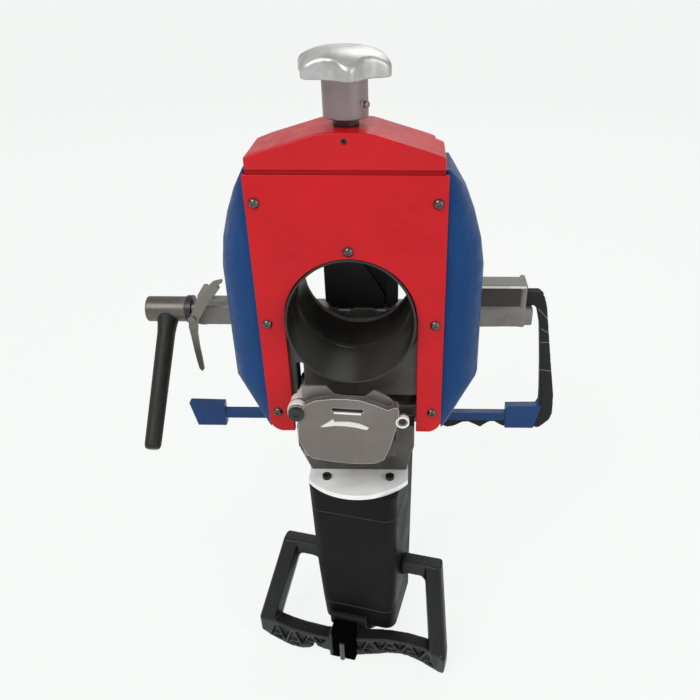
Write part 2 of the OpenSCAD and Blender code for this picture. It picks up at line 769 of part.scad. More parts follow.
// Raised mark that shows which way the head turns
module guard_arrow() {
    polygon([[-31.1, -101.6], [-18.6, -92.6], [-17.2, -95.6], [-2, -95.6], [7.7, -98], [16.3, -102],
        [14.4, -105],
        [2.7, -101.8], [-7.1, -100.3], [-18, -100], [-25.9, -101.5]]);
}

module guard_screw() {
    placed() color(c_black) difference() {
        union() {
            pipe_rod(pivot_x, -pivot_z, guard_y0 - 2.6, guard_y0 - 0.2, 7.6, $fn = 48);
        }
        pipe_rod(pivot_x, -pivot_z, guard_y0 - 3, guard_y0 - 1.2, 3.2, $fn = 6);
    }
}

module saw_blade() {
    r = blade_d / 2;
    placed() color(c_steel) translate([blade_x, 0, -blade_z]) difference() {
        along_pipe(blade_y, blade_y + blade_t) polygon([for (i = [0:blade_teeth - 1]) for (k = [0:2])
            let (a = (i + [0, 0.12, 0.62][k]) * 360 / blade_teeth,
                q = [r - tooth_h, r, r - tooth_h * 0.6][k])
            [q * cos(a), q * sin(a)]]);
        pipe_rod(0, 0, blade_y - 1, blade_y + 5, arbor_d / 2 - 2 + seat, $fn = 48);
    }
}

module blade_arbor() {
    placed() color(c_steel) {
        pipe_rod(blade_x, -blade_z, blade_y + blade_t, 4.6, arbor_d / 2, $fn = 48);
        pipe_rod(blade_x, -blade_z, blade_y - 2.4, blade_y + blade_t + 0.5, arbor_d / 2 - 2, $fn = 48);
    }
}

module blade_nut() {
    placed() color(c_steel) difference() {
        pipe_rod(blade_x, -blade_z, blade_y - 2.4, blade_y, arbor_d / 2 + 3, $fn = 48);
        pipe_rod(blade_x, -blade_z, blade_y - 3, blade_y + 1, arbor_d / 2 - 2 + seat, $fn = 48);
    }
}

module motor_flange() {
    placed() color(c_cast) difference() {
        translate([0, 0, -flange_low]) linear_extrude(flange_t) intersection() {
            translate([-flange_half, -30]) square([2 * flange_half, 120]);
            translate([0, 52]) circle(r = 71, $fn = 128);
        }
        for (p = flange_holes) translate([p[0], p[1], -flange_low - 1]) cylinder(h = 20, r = 3.3, $fn = 32);
        for (p = front_flange_holes) translate([p[0], p[1], -flange_low - 1])
            cylinder(h = 20, r = 3.1, $fn = 32);
    }
}

module flange_screws() {
    placed() color(c_black) {
        for (p = front_flange_holes) cap_screw_z(p[0], p[1], -flange_z, 6, 4, flange_t + 8.5);
        for (p = flange_holes) translate([p[0], p[1], -flange_low + 0.5]) cylinder(h = 16, r = 3, $fn = 32);
    }
}

module rounded_square(w, r) {
    offset(r = r, $fn = 32) square(w - 2 * r, center = true);
}

module motor_form(grow) {
    mid_z = flange_low + motor_mid_len;
    translate([0, motor_y, 0]) rotate([0, 0, motor_clock]) hull() {
        translate([0, 0, -flange_low - 6]) linear_extrude(6)
            rounded_square(motor_w + 2 * grow, motor_corner);
        translate([0, 0, -mid_z]) linear_extrude(2)
            rounded_square(motor_mid_w + 2 * grow, motor_corner - 1);
        translate([motor_shift, 0, -motor_end]) linear_extrude(4)
            rounded_square(motor_low_w + 2 * grow, motor_corner - 2);
    }
}

module end_cap_form(grow) {
    translate([motor_shift, motor_y, 0]) rotate([0, 0, motor_clock]) hull() {
        translate([0, 0, -motor_end - 4]) linear_extrude(4)
            rounded_square(motor_low_w - 3 + 2 * grow, motor_corner - 4);
        translate([0, 0, -cap_end - grow]) linear_extrude(3) rounded_square(78 + 2 * grow, 22);
    }
}

module motor_housing() {
    placed() color(c_black) difference() {
        motor_form(0);
        translate([0, motor_y, -243.5]) rotate([0, 0, motor_clock]) linear_extrude(1.4) difference() {
            rounded_square(motor_w + 4, motor_corner);
            rounded_square(motor_w - 3, motor_corner - 1);
        }
        translate([0, 0, -flange_low - 8.8]) for (p = front_flange_holes) {
            translate([p[0], p[1], 0]) cylinder(h = 20, r = 3 + seat, $fn = 32);
        }
        for (p = flange_holes) translate([p[0], p[1], -flange_low - 1]) cylinder(h = 3, r = 3.3, $fn = 32);
    }
}

module motor_end_cap() {
    placed() color(c_black) end_cap_form(0);
}

// Front edge of the grip, across and forward of the frame's own front
grip_front = [[-120, 1.5], [-100, -0.5], [-77, -5.5], [-59, -7.5], [-31, -8.5], [-4, -4.5], [25, 2.5],
    [46, 6.5],
    [70, 7.9], [92, 5.8], [110, 0], [120, -6]];
grip_low = [[-119, 18], [-116, 26], [-108, 31], [-97, 34], [-80, 35], [-62, 33], [-50, 27], [-44, 20],
    [-30, 23],
    [-6, 29], [12, 30.5], [36, 28], [48, 25], [62, 23], [79, 25], [95, 29], [110, 30], [118, 26],
    [121, 16]];

module grip_bar() {
    k = frame_low_w / 240;
    half = frame_thick / 2;
    intersection() {
        translate([0, 0, -grip_z - 60]) linear_extrude(60) polygon(concat(
            [for (p = grip_front) [p[0] * k, grip_y - half + p[1]]],
            [for (i = [len(grip_front) - 1:-1:0])
            [grip_front[i][0] * k, grip_y + half + 0.9 * grip_front[i][1]]]));
        translate([0, 100, -grip_z]) rotate([90, 0, 0]) linear_extrude(300) polygon(concat(
            [[-120 * k, 0]], [for (p = grip_low) [p[0] * k, -p[1]]], [[121 * k, 0]]));
    }
}

module bar_slice(w, d, h) {
    linear_extrude(h) offset(r = 4, $fn = 24) square([w - 8, d - 8], center = true);
}

// Triangle cut into the grip's front, its point up or down
module grip_pocket(x, up) {
    floor_y = grip_y - frame_thick / 2 + lookup(x, grip_front) + 5;
    low = lookup(x, grip_low) - 4;
    translate([x, floor_y, -grip_z]) rotate([90, 0, 0]) linear_extrude(40) {
        polygon(up ? [[-9, -low], [9, -low], [0, -5]] : [[-9, -4.5], [9, -4.5], [0, -low + 1]]);
    }
}

module handle_frame() {
    top_x = (frame_top_w - frame_bar_w) / 2;
    low_x = (frame_low_w - frame_bar_w) / 2;
    placed() color(c_black) difference() {
        translate([0, motor_y, 0]) rotate([0, 0, motor_clock]) difference() {
            union() {
                for (m = [-1, 1]) {
                    translate([0, frame_y + frame_thick / 2, -frame_z]) rotate([90, 0, 0])
                        linear_extrude(frame_thick) {
                        scale([m, 1]) polygon([[42, 0], [top_x + 3, 0], [top_x + 8, -frame_arm_h],
                            [top_x - 8, -frame_arm_h - 7], [top_x - 14, -frame_arm_h], [62, -frame_arm_h],
                            [54, -frame_arm_h - 4], [42, -frame_arm_h - 4]]);
                    }
                    hull() {
                        translate([m * top_x, frame_y, -frame_z - frame_arm_h]) {
                            bar_slice(frame_bar_w, frame_thick, frame_arm_h);
                        }
                        translate([m * low_x, grip_y, -grip_z - 24])
                            bar_slice(frame_bar_w, frame_thick, 24);
                    }
                }
                grip_bar();
                translate([-25, grip_y - 15.5, -grip_z - 35]) cube([33, 34, 41]);
                translate([0, 0, -cap_end - bracket_h]) linear_extrude(bracket_h) {
                    polygon([[-32, 4], [-32, -45], [-22, -49], [0, -49], [20, -43], [33, -31], [33, 4]]);
                }
            }
            for (i = [-4:4]) {
                if (i < -1 || i > 0) grip_pocket(i * 24.5, true);
                if (i != -1 && i < 4) grip_pocket((i + 0.5) * 24.5, false);
            }
            translate([-8.5, grip_y - 14, -grip_z - 60]) cylinder(h = 54, r = 3.5, $fn = 32);
        }
        motor_form(0.4);
        end_cap_form(0.3);
    }
}

module frame_screw() {
    placed() color(c_steel) translate([0, motor_y, 0]) rotate([0, 0, motor_clock]) {
        translate([-8.5, grip_y - 14, -grip_z - 36]) difference() {
            cylinder(h = 29.8, r = 3.45, $fn = 32);
            translate([0, 0, -1]) cylinder(h = 4, r = 2, $fn = 6);
        }
    }
}

module vise_body() {
    web_x = 122;
    placed() color(c_cast) difference() {
        union() {
            along_pipe(tube_end, ring_back) difference() {
                union() {
                    circle(r = tube_flange_d / 2, $fn = 96);
                    translate([-70, -floor_z]) square([140, floor_z - 30]);
                }
                circle(r = bore_r + 1.5, $fn = 96);
            }
            translate([-85, tube_end, -floor_z]) cube([170, beam_back - tube_end, floor_t]);
            for (m = [-1, 1]) across(m * 66 - 4, m * 66 + 4)
                polygon([[ring_back - 1, -floor_z], [beam_y + 3, -floor_z],
                [beam_y + 3, -lip_mid], [ring_back - 1, -30]]);
            translate([-beam_half, beam_y + 3, -floor_z]) cube([2 * beam_half, beam_depth - 3, floor_t]);
            translate([-beam_half - 9, beam_y, -lip_low])
                cube([2 * beam_half + 9, lip_t, lip_low - sill_z]);
            for (m = [-1, 1]) translate([m > 0 ? sill_half : -beam_half - 9, beam_y, -lip_low]) {
                cube([m > 0 ? beam_half - sill_half : beam_half + 9 - sill_half, lip_t, lip_low - lip_mid]);
            }
            for (m = [-1, 1]) translate([m > 0 ? 90 : -beam_half - 9, beam_y, -lip_low]) {
                cube([m > 0 ? beam_half - 90 : beam_half - 81, lip_t, lip_low - lip_top]);
            }
            translate([-beam_half, beam_back - 6, -floor_z]) cube([2 * beam_half, 6, floor_z - sill_z]);
            for (m = [-1, 1]) translate([m > 0 ? sill_half : -beam_half, beam_back - 6, -floor_z]) {
                cube([beam_half - sill_half, 6, floor_z - lip_mid]);
            }
            along_pipe(beam_y + lip_t, beam_back - 5)
                polygon([[-26, -floor_z + 1], [-26, -74], [-9, -60.8], [13, -60.8],
                [26, -73], [26, -floor_z + 1]]);
            translate([web_x, beam_y + 3, -lip_top - 3]) cube([beam_half - web_x, 4, lip_top - 26]);
            translate([web_x, beam_y, -32]) cube([beam_half - web_x, 26, 3]);
            translate([beam_half - 6, beam_y + 1, -floor_z]) cube([6, beam_depth - 6, floor_z - 29]);
            translate([-beam_half, beam_y + 1, -floor_z]) cube([6, beam_depth - 4, floor_z - 44]);
            across(-beam_half - 8, -web_x - 6) translate([screw_y, -screw_z]) circle(r = 12.5, $fn = 48);
            translate([-beam_half, screw_y - 6, -floor_z]) cube([beam_half - web_x - 6, 12, 12]);
            along_pipe(column_y0, column_y1) difference() {
                translate([-column_half, -base_top]) square([2 * column_half, base_top - floor_z + 2]);
            }
            along_pipe(column_y0, column_y1)
                polygon([[-column_half - 20, -floor_z + 1], [column_half + 20, -floor_z + 1],
                [column_half, -floor_z - 24], [-column_half, -floor_z - 24]]);
        }
        along_pipe(column_y0 + 10, column_y1 + 1) difference() {
            translate([-column_half + 9, -base_top + 14])
                square([2 * column_half - 18, base_top - floor_z - 26]);
        }
        across(-beam_half - 20, -web_x) translate([screw_y, -screw_z])
            circle(r = screw_d / 2 + screw_fit, $fn = 48);
        across(beam_half - 12, beam_half - 1) translate([screw_y, -screw_z])
            circle(r = screw_d / 2 + screw_fit, $fn = 48);
        across(-30, 30) translate([screw_y, -screw_z]) circle(r = screw_d / 2 + screw_fit, $fn = 48);
        for (a = [30:60:330]) pipe_rod(tube_pcd * cos(a), tube_pcd * sin(a), tube_end - 1, tube_end + 9.5,
            3 + seat, $fn = 32);
        for (p = bar_bolts) pipe_rod(p, -base_top + foot_bar_h / 2, column_y0 - 1, column_y0 + 9, 3 + seat,
            $fn = 32);
        pipe_rod(lever_x, lever_z, beam_y - 1, beam_y + lip_t + 1, 4, $fn = 32);
        for (p = base_bolts) translate([p[0], p[1], -base_top - 1])
            cylinder(h = 13, r = 4 + seat, $fn = 32);
        translate([beam_half - 7, handle_y0 + 6.5, -48]) rotate([0, 90, 0])
            cylinder(h = 10, r = 3 + seat, $fn = 32);
        translate([column_half - 9.5, handle_y0 + 6.5, -base_top + 6]) rotate([0, 90, 0]) {
            cylinder(h = 12, r = 3 + seat, $fn = 32);
        }
    }
}

bar_bolts = [-24, 24];
base_bolts = [[-24, foot_y - 38], [24, foot_y - 38], [-24, foot_y - 20], [24, foot_y - 20]];

module base_plate() {
    placed() color(c_cast) difference() {
        translate([0, foot_y, -axis_h]) linear_extrude(base_t) difference() {
            offset(r = 8, $fn = 32) square([base_len - 16, base_depth - 16], center = true);
        }
        for (a = [-1, 1]) for (b = [-1, 1])
            translate([a * bench_x / 2, foot_y + b * bench_y / 2, -axis_h - 1]) {
            cylinder(h = base_t + 2, r = bench_hole_d / 2, $fn = 48);
        }
        for (p = base_bolts) translate([p[0], p[1], -axis_h - 1]) {
            cylinder(h = base_t + 2, r = 4.3, $fn = 32);
            cylinder(h = 1 + 6, r = 7, $fn = 32);
        }
    }
}

module base_screws() {
    placed() color(c_steel) for (p = base_bolts) translate([p[0], p[1], -axis_h]) {
        translate([0, 0, 1.5]) cylinder(h = 4.5, r = 6.6, $fn = 32);
        translate([0, 0, 5]) cylinder(h = base_t + 6, r = 4, $fn = 32);
    }
}

module foot_bar() {
    bar_low = axis_h - 12;
    pad_in = foot_half - foot_pad_len;
    placed() color(c_blue) difference() {
        union() {
            along_pipe(bar_y0, bar_y1) translate([-pad_in - 2, -bar_low])
                square([2 * pad_in + 4, foot_bar_h]);
            for (m = [-1, 1]) scale([m, 1, 1]) along_pipe(bar_y0 - 1, bar_y1 + 0.6) {
                polygon([[pad_in, -axis_h + 1], [pad_in - 1, -axis_h + 34], [foot_half, -axis_h + 35],
                    [foot_half - 7, -axis_h + 1]]);
            }
        }
        for (p = bar_bolts) pipe_rod(p, -base_top + foot_bar_h / 2, bar_y0 - 1, bar_y1 + 1, 3.3, $fn = 32);
    }
}

module foot_screws() {
    placed() color(c_steel) for (p = bar_bolts) {
        translate([p, 0, -base_top + foot_bar_h / 2]) difference() {
            union() {
                pipe_rod(0, 0, bar_y0 - 4, bar_y0, 5, $fn = 32);
                pipe_rod(0, 0, bar_y0 - 1, bar_y1 + 8.5, 3, $fn = 32);
            }
            pipe_rod(0, 0, bar_y0 - 5, bar_y0 - 1.5, 2.5, $fn = 6);
        }
    }
}

module side_handle() {
    d = beam_half - 190;
    placed() color(c_black) difference() {
        along_pipe(handle_y0, handle_y1) difference() {
            polygon([[beam_half, -41], [206 + d, -41], [212 + d, -46], [216 + d, -61], [220 + d, -85],
                [228 + d, -133],
                [237 + d, -185], [238.5 + d, -212], [236 + d, -222], [229 + d, -230], [223 + d, -235.5],
                [215 + d, -234],
                [206 + d, -229.5], [200 + d, -228.6], [192 + d, -231], [183 + d, -235.5], [174 + d, -232],
                [166 + d, -226.5], [159 + d, -226.5], [153 + d, -231], [148 + d, -235.5], [140 + d, -231],
                [132, -227],
                [124, -228], [114, -234], [106, -236], [98, -233], [90, -228], [column_half, -228],
                [column_half, -base_top], [92, -base_top], [204 + d, -base_top], [214 + d, -210],
                [220 + d, -196],
                [219 + d, -178], [215 + d, -133], [209.6 + d, -85], [204 + d, -62], [200 + d, -57.5],
                [beam_half, -57.5]]);
        }
        for (i = [0:5]) translate([210 + d + i * 3, handle_y0 - 1, -74 - i * 15]) rotate([0, 28, 0])
            cube([14, 2.2, 3.4]);
        for (i = [0:5]) translate([210 + d + i * 3, handle_y1 - 1.2, -74 - i * 15]) rotate([0, 28, 0])
            cube([14, 2.2, 3.4]);
        translate([beam_half - 1, handle_y0 + 6.5, -48]) rotate([0, 90, 0]) {
            cylinder(h = 40, r = 3.3, $fn = 32);
            translate([0, 0, 7]) cylinder(h = 40, r = 5.6, $fn = 32);
        }
        translate([column_half - 1, handle_y0 + 6.5, -base_top - 6]) rotate([0, 90, 0])
            cylinder(h = 1, r = 1, $fn = 32);
    }
}

module handle_screws() {
    placed() color(c_steel) translate([beam_half, handle_y0 + 6.5, -48]) rotate([0, 90, 0]) difference() {
        union() {
            translate([0, 0, 6]) cylinder(h = 5, r = 5, $fn = 32);
            translate([0, 0, -6.5]) cylinder(h = 13, r = 3, $fn = 32);
        }
        translate([0, 0, 8.5]) cylinder(h = 4, r = 2.5, $fn = 6);
    }
}

module clamp_screw() {
    placed() color(c_steel) {
        across(-socket_x0, screw_end) translate([screw_y, -screw_z]) circle(r = screw_d / 2, $fn = 48);
    }
}

module screw_collar() {
    placed() color(c_black) difference() {
        across(-socket_x0, -socket_x0 + 7) translate([screw_y, -screw_z])
            circle(r = socket_r + 1.5, $fn = 48);
        across(-socket_x0 - 1, -socket_x0 + 8) translate([screw_y, -screw_z])
            circle(r = screw_d / 2 + seat, $fn = 48);
    }
}

module wrench_handle() {
    placed() color(c_black) {
        across(-socket_x1, -socket_x0) translate([screw_y, -screw_z]) circle(r = socket_r, $fn = 48);
        translate([-wrench_x, screw_y, -screw_z]) rotate([180 - wrench_lean, 0, 0]) {
            cylinder(h = wrench_len - 4, r = wrench_d / 2, $fn = 32);
            translate([0, 0, wrench_len - 4])
                cylinder(h = 4, r1 = wrench_d / 2, r2 = wrench_d / 2 - 3, $fn = 32);
            cylinder(h = 24, r1 = wrench_d / 2 + 2.5, r2 = wrench_d / 2, $fn = 32);
        }
    }
}

// Profile of a jaw plate, its notch opening towards minus x
module jaw_profile() {
    k = tan(jaw_angle / 2);
    polygon([[jaw_len - 8, -jaw_low], [jaw_len, -jaw_low + 7], [jaw_len, jaw_up - 6], [jaw_len - 6, jaw_up],
        [-jaw_arm, jaw_up], [-jaw_arm, jaw_arm * k], [0, 0], [-jaw_arm, -jaw_arm * k],
        [-jaw_arm, -jaw_low]]);
}

module jaw(m) {
    pitch = jaw_depth / 4;
    first = m < 0 ? 0 : 1;
    placed() color(c_black) scale([m, 1, 1]) difference() {
        union() {
            for (i = [first, first + 2])
                along_pipe(jaw_y0 + i * pitch, jaw_y0 + (i + 1) * pitch - jaw_play) jaw_profile();
            along_pipe(jaw_y0, jaw_y1 - jaw_play) intersection() {
                jaw_profile();
                translate([jaw_len - jaw_back, -100]) square([jaw_back, 200]);
            }
        }
        translate([jaw_len - jaw_back + 2 - seat, carriage_y0 + 3 - seat, -jaw_low - 1]) {
            cube([jaw_back - 4.5 + 2 * seat, carriage_depth - 6 + 2 * seat, 1 + tongue_h + seat]);
        }
    }
}

module left_jaw() {
    jaw(-1);
}

module right_jaw() {
    jaw(1);
}

module carriage(m) {
    low = -floor_z + floor_t + 0.4;
    placed() color(c_cast) scale([m, 1, 1]) difference() {
        union() {
            translate([jaw_len - 14, carriage_y0, low])
                cube([carriage_len, carriage_depth, -jaw_low - 1.4 - low]);
            translate([jaw_len - jaw_back + 2, carriage_y0 + 3, -jaw_low - 4]) {
                cube([jaw_back - 4.5, carriage_depth - 6, 4 + tongue_h]);
            }
        }
        across(-1, 100) translate([screw_y, -screw_z]) circle(r = screw_d / 2 + screw_fit, $fn = 48);
    }
}

module left_carriage() {
    carriage(-1);
}

module right_carriage() {
    carriage(1);
}

module lever_pin() {
    placed() color(c_steel) {
        pipe_rod(lever_x, lever_z, lever_y0 - 0.8, beam_y + lip_t, 3.95, $fn = 32);
        pipe_rod(lever_x, lever_z, lever_y0 - 1.6, lever_y0 - 0.5, 4.8, $fn = 32);
    }
}

module lock_lever() {
    placed() color(c_cast) difference() {
        along_pipe(lever_y0, lever_y1) translate([lever_x, 0])
            polygon([[40.4, -20.5], [30.5, -20.6], [23.4, -23.2],
            [15.4, -31.4], [8, -41.5], [0, -54], [-6.5, -63], [-9, -72], [-7.4, -80], [-5.4, -91.7],
            [-3.8, -112.3],
            [-1.8, -132], [1, -141], [4, -142], [5.6, -134.9], [3.4, -112.3], [3.6, -91.7], [7.4, -79],
            [8.6, -70],
            [7.4, -58.3], [14.4, -45.3], [21.6, -35.1], [29.4, -28.2], [37, -26.2], [40.2, -24]]);
        pipe_rod(lever_x, lever_z, lever_y0 - 1, lever_y1 + 1, 4.02, $fn = 48);
    }
}

vise_body();
journal_tube();
tube_screws();
retaining_ring();
base_plate();
base_screws();
foot_bar();
foot_screws();
side_handle();
handle_screws();
lever_pin();
front_plate();
plate_screws();
top_cap();
cap_screw();
cap_bush();
rotor_housing();
rotor_frame();
bearing_front();
bearing_rear();
star_knob();
knob_set_screw();
thrust_collar();
feed_spindle();
slide_yoke();
yoke_nut();
yoke_screws();
gear_housing();
guard_plate();
guard_pin();
motor_flange();
flange_screws();
motor_housing();
motor_end_cap();
handle_frame();
frame_screw();
blade_guard();
guard_screw();
saw_blade();
blade_arbor();
blade_nut();
clamp_screw();
screw_collar();
wrench_handle();
left_jaw();
left_carriage();
right_jaw();
right_carriage();
lock_lever();
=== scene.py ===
"""Looks of an orbital pipe cutting machine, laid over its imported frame."""

import json
import math

import bmesh
import bpy
from mathutils import Matrix, Vector


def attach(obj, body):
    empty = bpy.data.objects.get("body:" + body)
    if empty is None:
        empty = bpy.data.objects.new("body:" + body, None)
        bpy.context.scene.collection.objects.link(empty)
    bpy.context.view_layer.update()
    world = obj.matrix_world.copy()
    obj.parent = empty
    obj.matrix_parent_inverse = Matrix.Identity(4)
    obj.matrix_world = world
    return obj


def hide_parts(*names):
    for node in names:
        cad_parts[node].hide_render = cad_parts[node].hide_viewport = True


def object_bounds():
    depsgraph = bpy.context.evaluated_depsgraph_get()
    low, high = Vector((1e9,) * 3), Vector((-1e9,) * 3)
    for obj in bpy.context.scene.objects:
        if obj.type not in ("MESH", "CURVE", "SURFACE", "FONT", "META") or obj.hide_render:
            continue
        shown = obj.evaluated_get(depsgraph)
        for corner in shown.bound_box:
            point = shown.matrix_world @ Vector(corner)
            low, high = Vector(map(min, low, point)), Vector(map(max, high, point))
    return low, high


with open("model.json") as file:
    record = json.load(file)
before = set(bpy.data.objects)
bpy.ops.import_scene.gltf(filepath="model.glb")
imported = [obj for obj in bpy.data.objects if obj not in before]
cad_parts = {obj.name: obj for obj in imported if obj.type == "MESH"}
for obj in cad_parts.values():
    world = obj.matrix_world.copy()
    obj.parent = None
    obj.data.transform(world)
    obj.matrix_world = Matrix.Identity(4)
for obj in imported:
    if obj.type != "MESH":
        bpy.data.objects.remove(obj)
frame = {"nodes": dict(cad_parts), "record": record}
cad_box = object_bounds()

bl_info = {
    "name": "Orbital Pipe Cutter",
    "version": (1, 0, 0),
    "blender": (4, 5, 0),
    "location": "View3D > Sidebar > Pipe Cutter",
    "description": "Dresses the frame of an orbital pipe cutting machine",
    "category": "Object",
}

MM = 0.001
# Place of the pipe axis, at the red plate's face, in the frame's own metres
AXIS = Vector((0.0, -0.210, 0.228))


def at(x, y, z):
    """Point given in millimetres from the pipe axis at the red plate's face."""
    return AXIS + Vector((x, y, z)) * MM


# Materials

class Shade:
    """Small helper that lays out one node material."""

    def __init__(self, name):
        self.mat = bpy.data.materials.new(name)
        self.mat.use_nodes = True
        self.tree = self.mat.node_tree
        self.tree.nodes.clear()
        self.out = self.add("ShaderNodeOutputMaterial")
        self.bsdf = self.add("ShaderNodeBsdfPrincipled")
        self.link(self.bsdf.outputs["BSDF"], self.out.inputs["Surface"])
        self.coord = self.add("ShaderNodeTexCoord")

    def add(self, kind):
        return self.tree.nodes.new(kind)

    def link(self, a, b):
        self.tree.links.new(a, b)

    def place(self, stretch=(1, 1, 1), turn=(0, 0, 0)):
        """Object coordinates, stretched and turned."""
        m = self.add("ShaderNodeMapping")
        m.inputs["Scale"].default_value = stretch
        m.inputs["Rotation"].default_value = turn
        self.link(self.coord.outputs["Object"], m.inputs["Vector"])
        return m.outputs["Vector"]

    def noise(self, scale, detail=3.0, rough=0.55, stretch=(1, 1, 1), turn=(0, 0, 0), twist=0.0):
        n = self.add("ShaderNodeTexNoise")
        n.inputs["Scale"].default_value = scale
        n.inputs["Detail"].default_value = detail
        n.inputs["Roughness"].default_value = rough
        n.inputs["Distortion"].default_value = twist
        self.link(self.place(stretch, turn), n.inputs["Vector"])
        return n.outputs["Fac"]

    def axis(self, letter):
        """One of the object's own coordinates."""
        n = self.add("ShaderNodeSeparateXYZ")
        self.link(self.coord.outputs["Object"], n.inputs["Vector"])
        return n.outputs[letter]

    def span(self, value, low, high, to_low=0.0, to_high=1.0):
        """Carries a value smoothly from one range to another."""
        n = self.add("ShaderNodeMapRange")
        n.interpolation_type = "SMOOTHSTEP"
        n.inputs["From Min"].default_value = low
        n.inputs["From Max"].default_value = high
        n.inputs["To Min"].default_value = to_low
        n.inputs["To Max"].default_value = to_high
        self.link(value, n.inputs["Value"])
        return n.outputs["Result"]

    def math(self, op, a, b):
        n = self.add("ShaderNodeMath")
        n.operation = op
        for i, v in enumerate((a, b)):
            if hasattr(v, "is_linked"):
                self.link(v, n.inputs[i])
            else:
                n.inputs[i].default_value = v
        return n.outputs["Value"]

    def blend(self, factor, a, b):
        n = self.add("ShaderNodeMix")
        n.data_type = "RGBA"
        self.link(factor, n.inputs["Factor"])
        for sock, v in (("A", a), ("B", b)):
            target = [s for s in n.inputs if s.name == sock and s.type == "RGBA"][0]
            if hasattr(v, "is_linked"):
                self.link(v, target)
            else:
                target.default_value = (*v, 1.0)
        return [s for s in n.outputs if s.type == "RGBA"][0]

    def edges(self, radius):
        """About 1 on convex edges within that radius, 0 on flats."""
        b = self.add("ShaderNodeBevel")
        b.samples = 6
        b.inputs["Radius"].default_value = radius
        g = self.add("ShaderNodeNewGeometry")
        d = self.add("ShaderNodeVectorMath")
        d.operation = "DOT_PRODUCT"
        self.link(b.outputs["Normal"], d.inputs[0])
        self.link(g.outputs["Normal"], d.inputs[1])
        return self.span(d.outputs["Value"], 0.995, 0.86)

    def colour(self, v):
        sock = self.bsdf.inputs["Base Color"]
        if hasattr(v, "is_linked"):
            self.link(v, sock)
        else:
            sock.default_value = (*v, 1.0)

    def set(self, **values):
        for k, v in values.items():
            sock = self.bsdf.inputs[k.replace("_", " ")]
            if hasattr(v, "is_linked"):
                self.link(v, sock)
            else:
                sock.default_value = v

    def relief(self, *layers, round_edges=0.0):
        """Stacks bumps given as (height, strength, distance in metres)."""
        normal = None
        if round_edges:
            b = self.add("ShaderNodeBevel")
            b.samples = 6
            b.inputs["Radius"].default_value = round_edges
            normal = b.outputs["Normal"]
        for height, strength, distance in layers:
            n = self.add("ShaderNodeBump")
            n.inputs["Strength"].default_value = strength
            n.inputs["Distance"].default_value = distance
            self.link(height, n.inputs["Height"])
            if normal is not None:
                self.link(normal, n.inputs["Normal"])
            normal = n.outputs["Normal"]
        if normal is not None:
            self.link(normal, self.bsdf.inputs["Normal"])


def shade_of(colour, factor):
    """Colour made darker or lighter by a factor."""
    return tuple(min(1.0, c * factor) for c in colour)


def paint(name, colour, gloss=0.34, spec=0.22, coat=0.12, edge=0.0008):
    """Powder coat: fine orange peel, a little cloud in the colour, edges lightened by wear and by painted
    highlight.
    """
    s = Shade(name)
    cloud = s.noise(9, 4, 0.6)
    fine = s.noise(90, 3)
    base = s.blend(s.span(cloud, 0.3, 0.72), shade_of(colour, 0.9), shade_of(colour, 1.08))
    grime = s.span(s.noise(38, 6, 0.72), 0.58, 0.8, 0.0, 0.22)
    base = s.blend(grime, base, shade_of(colour, 0.72))
    # Lightened edges: partly rubbed wear, partly a painted highlight along the edges.
    rim = s.math("MULTIPLY", s.edges(edge), s.span(fine, 0.3, 0.7, 0.12, 0.5))
    s.colour(s.blend(rim, base, tuple(c * 0.85 + 0.07 for c in colour)))
    s.set(Roughness=s.span(fine, 0.3, 0.75, gloss - 0.05, gloss + 0.1), Specular_IOR_Level=spec)
    s.set(Coat_Weight=coat, Coat_Roughness=0.15)
    s.relief((s.noise(900, 2, 0.5), 0.1, 0.0004), (s.noise(60, 2), 0.06, 0.001), round_edges=edge)
    return s.mat


def casting(name, colour, rough=0.55, metal=0.55, grain=0.5, edge=0.0009, stain=0.5, rim_gain=1.75,
        below=None):
    """Sand casting: mottled grey, coarse skin, rubbed edges and another tone below a height."""
    s = Shade(name)
    mottle = s.noise(26, 6, 0.7)
    fine = s.noise(220, 5, 0.7)
    base = s.blend(s.span(mottle, 0.32, 0.72), shade_of(colour, 0.78), shade_of(colour, 1.16))
    base = s.blend(s.span(fine, 0.45, 0.75, 0.0, stain), base, shade_of(colour, 0.55))
    if below:
        low, high, tone = below
        base = s.blend(s.span(s.axis("Z"), low, high), tone, base)
    rim = s.math("MULTIPLY", s.edges(edge), s.span(mottle, 0.3, 0.6, 0.2, 0.75))
    s.colour(s.blend(rim, base, shade_of(colour, rim_gain)))
    s.set(Metallic=metal, Roughness=s.span(mottle, 0.3, 0.75, rough - 0.08, rough + 0.12))
    s.relief((s.noise(480, 5, 0.75), grain, 0.0005), (s.noise(70, 3), 0.25, 0.001), round_edges=edge)
    return s.mat


def turned(name, colour, rough=0.3, along=(1, 1, 1), metal=1.0, edge=0.0005, streak=0.25, rim_gain=1.35):
    """Machined or rolled metal: fine lines and a slow cloud in the gloss."""
    s = Shade(name)
    lines = s.noise(600, 4, 0.65, along)
    cloud = s.noise(30, 4, 0.6)
    base = s.blend(s.span(cloud, 0.3, 0.75), shade_of(colour, 0.86), shade_of(colour, 1.1))
    rim = s.math("MULTIPLY", s.edges(edge), s.span(cloud, 0.2, 0.7, 0.3, 0.8))
    s.colour(s.blend(rim, base, shade_of(colour, rim_gain)))
    gloss = s.span(cloud, 0.3, 0.7, rough - 0.04, rough + 0.08)
    wear = s.span(lines, 0.3, 0.7, -streak * 0.3, streak * 0.3)
    s.set(Metallic=metal, Roughness=s.math("ADD", gloss, wear))
    s.relief((lines, 0.25, 0.00012), round_edges=edge)
    return s.mat


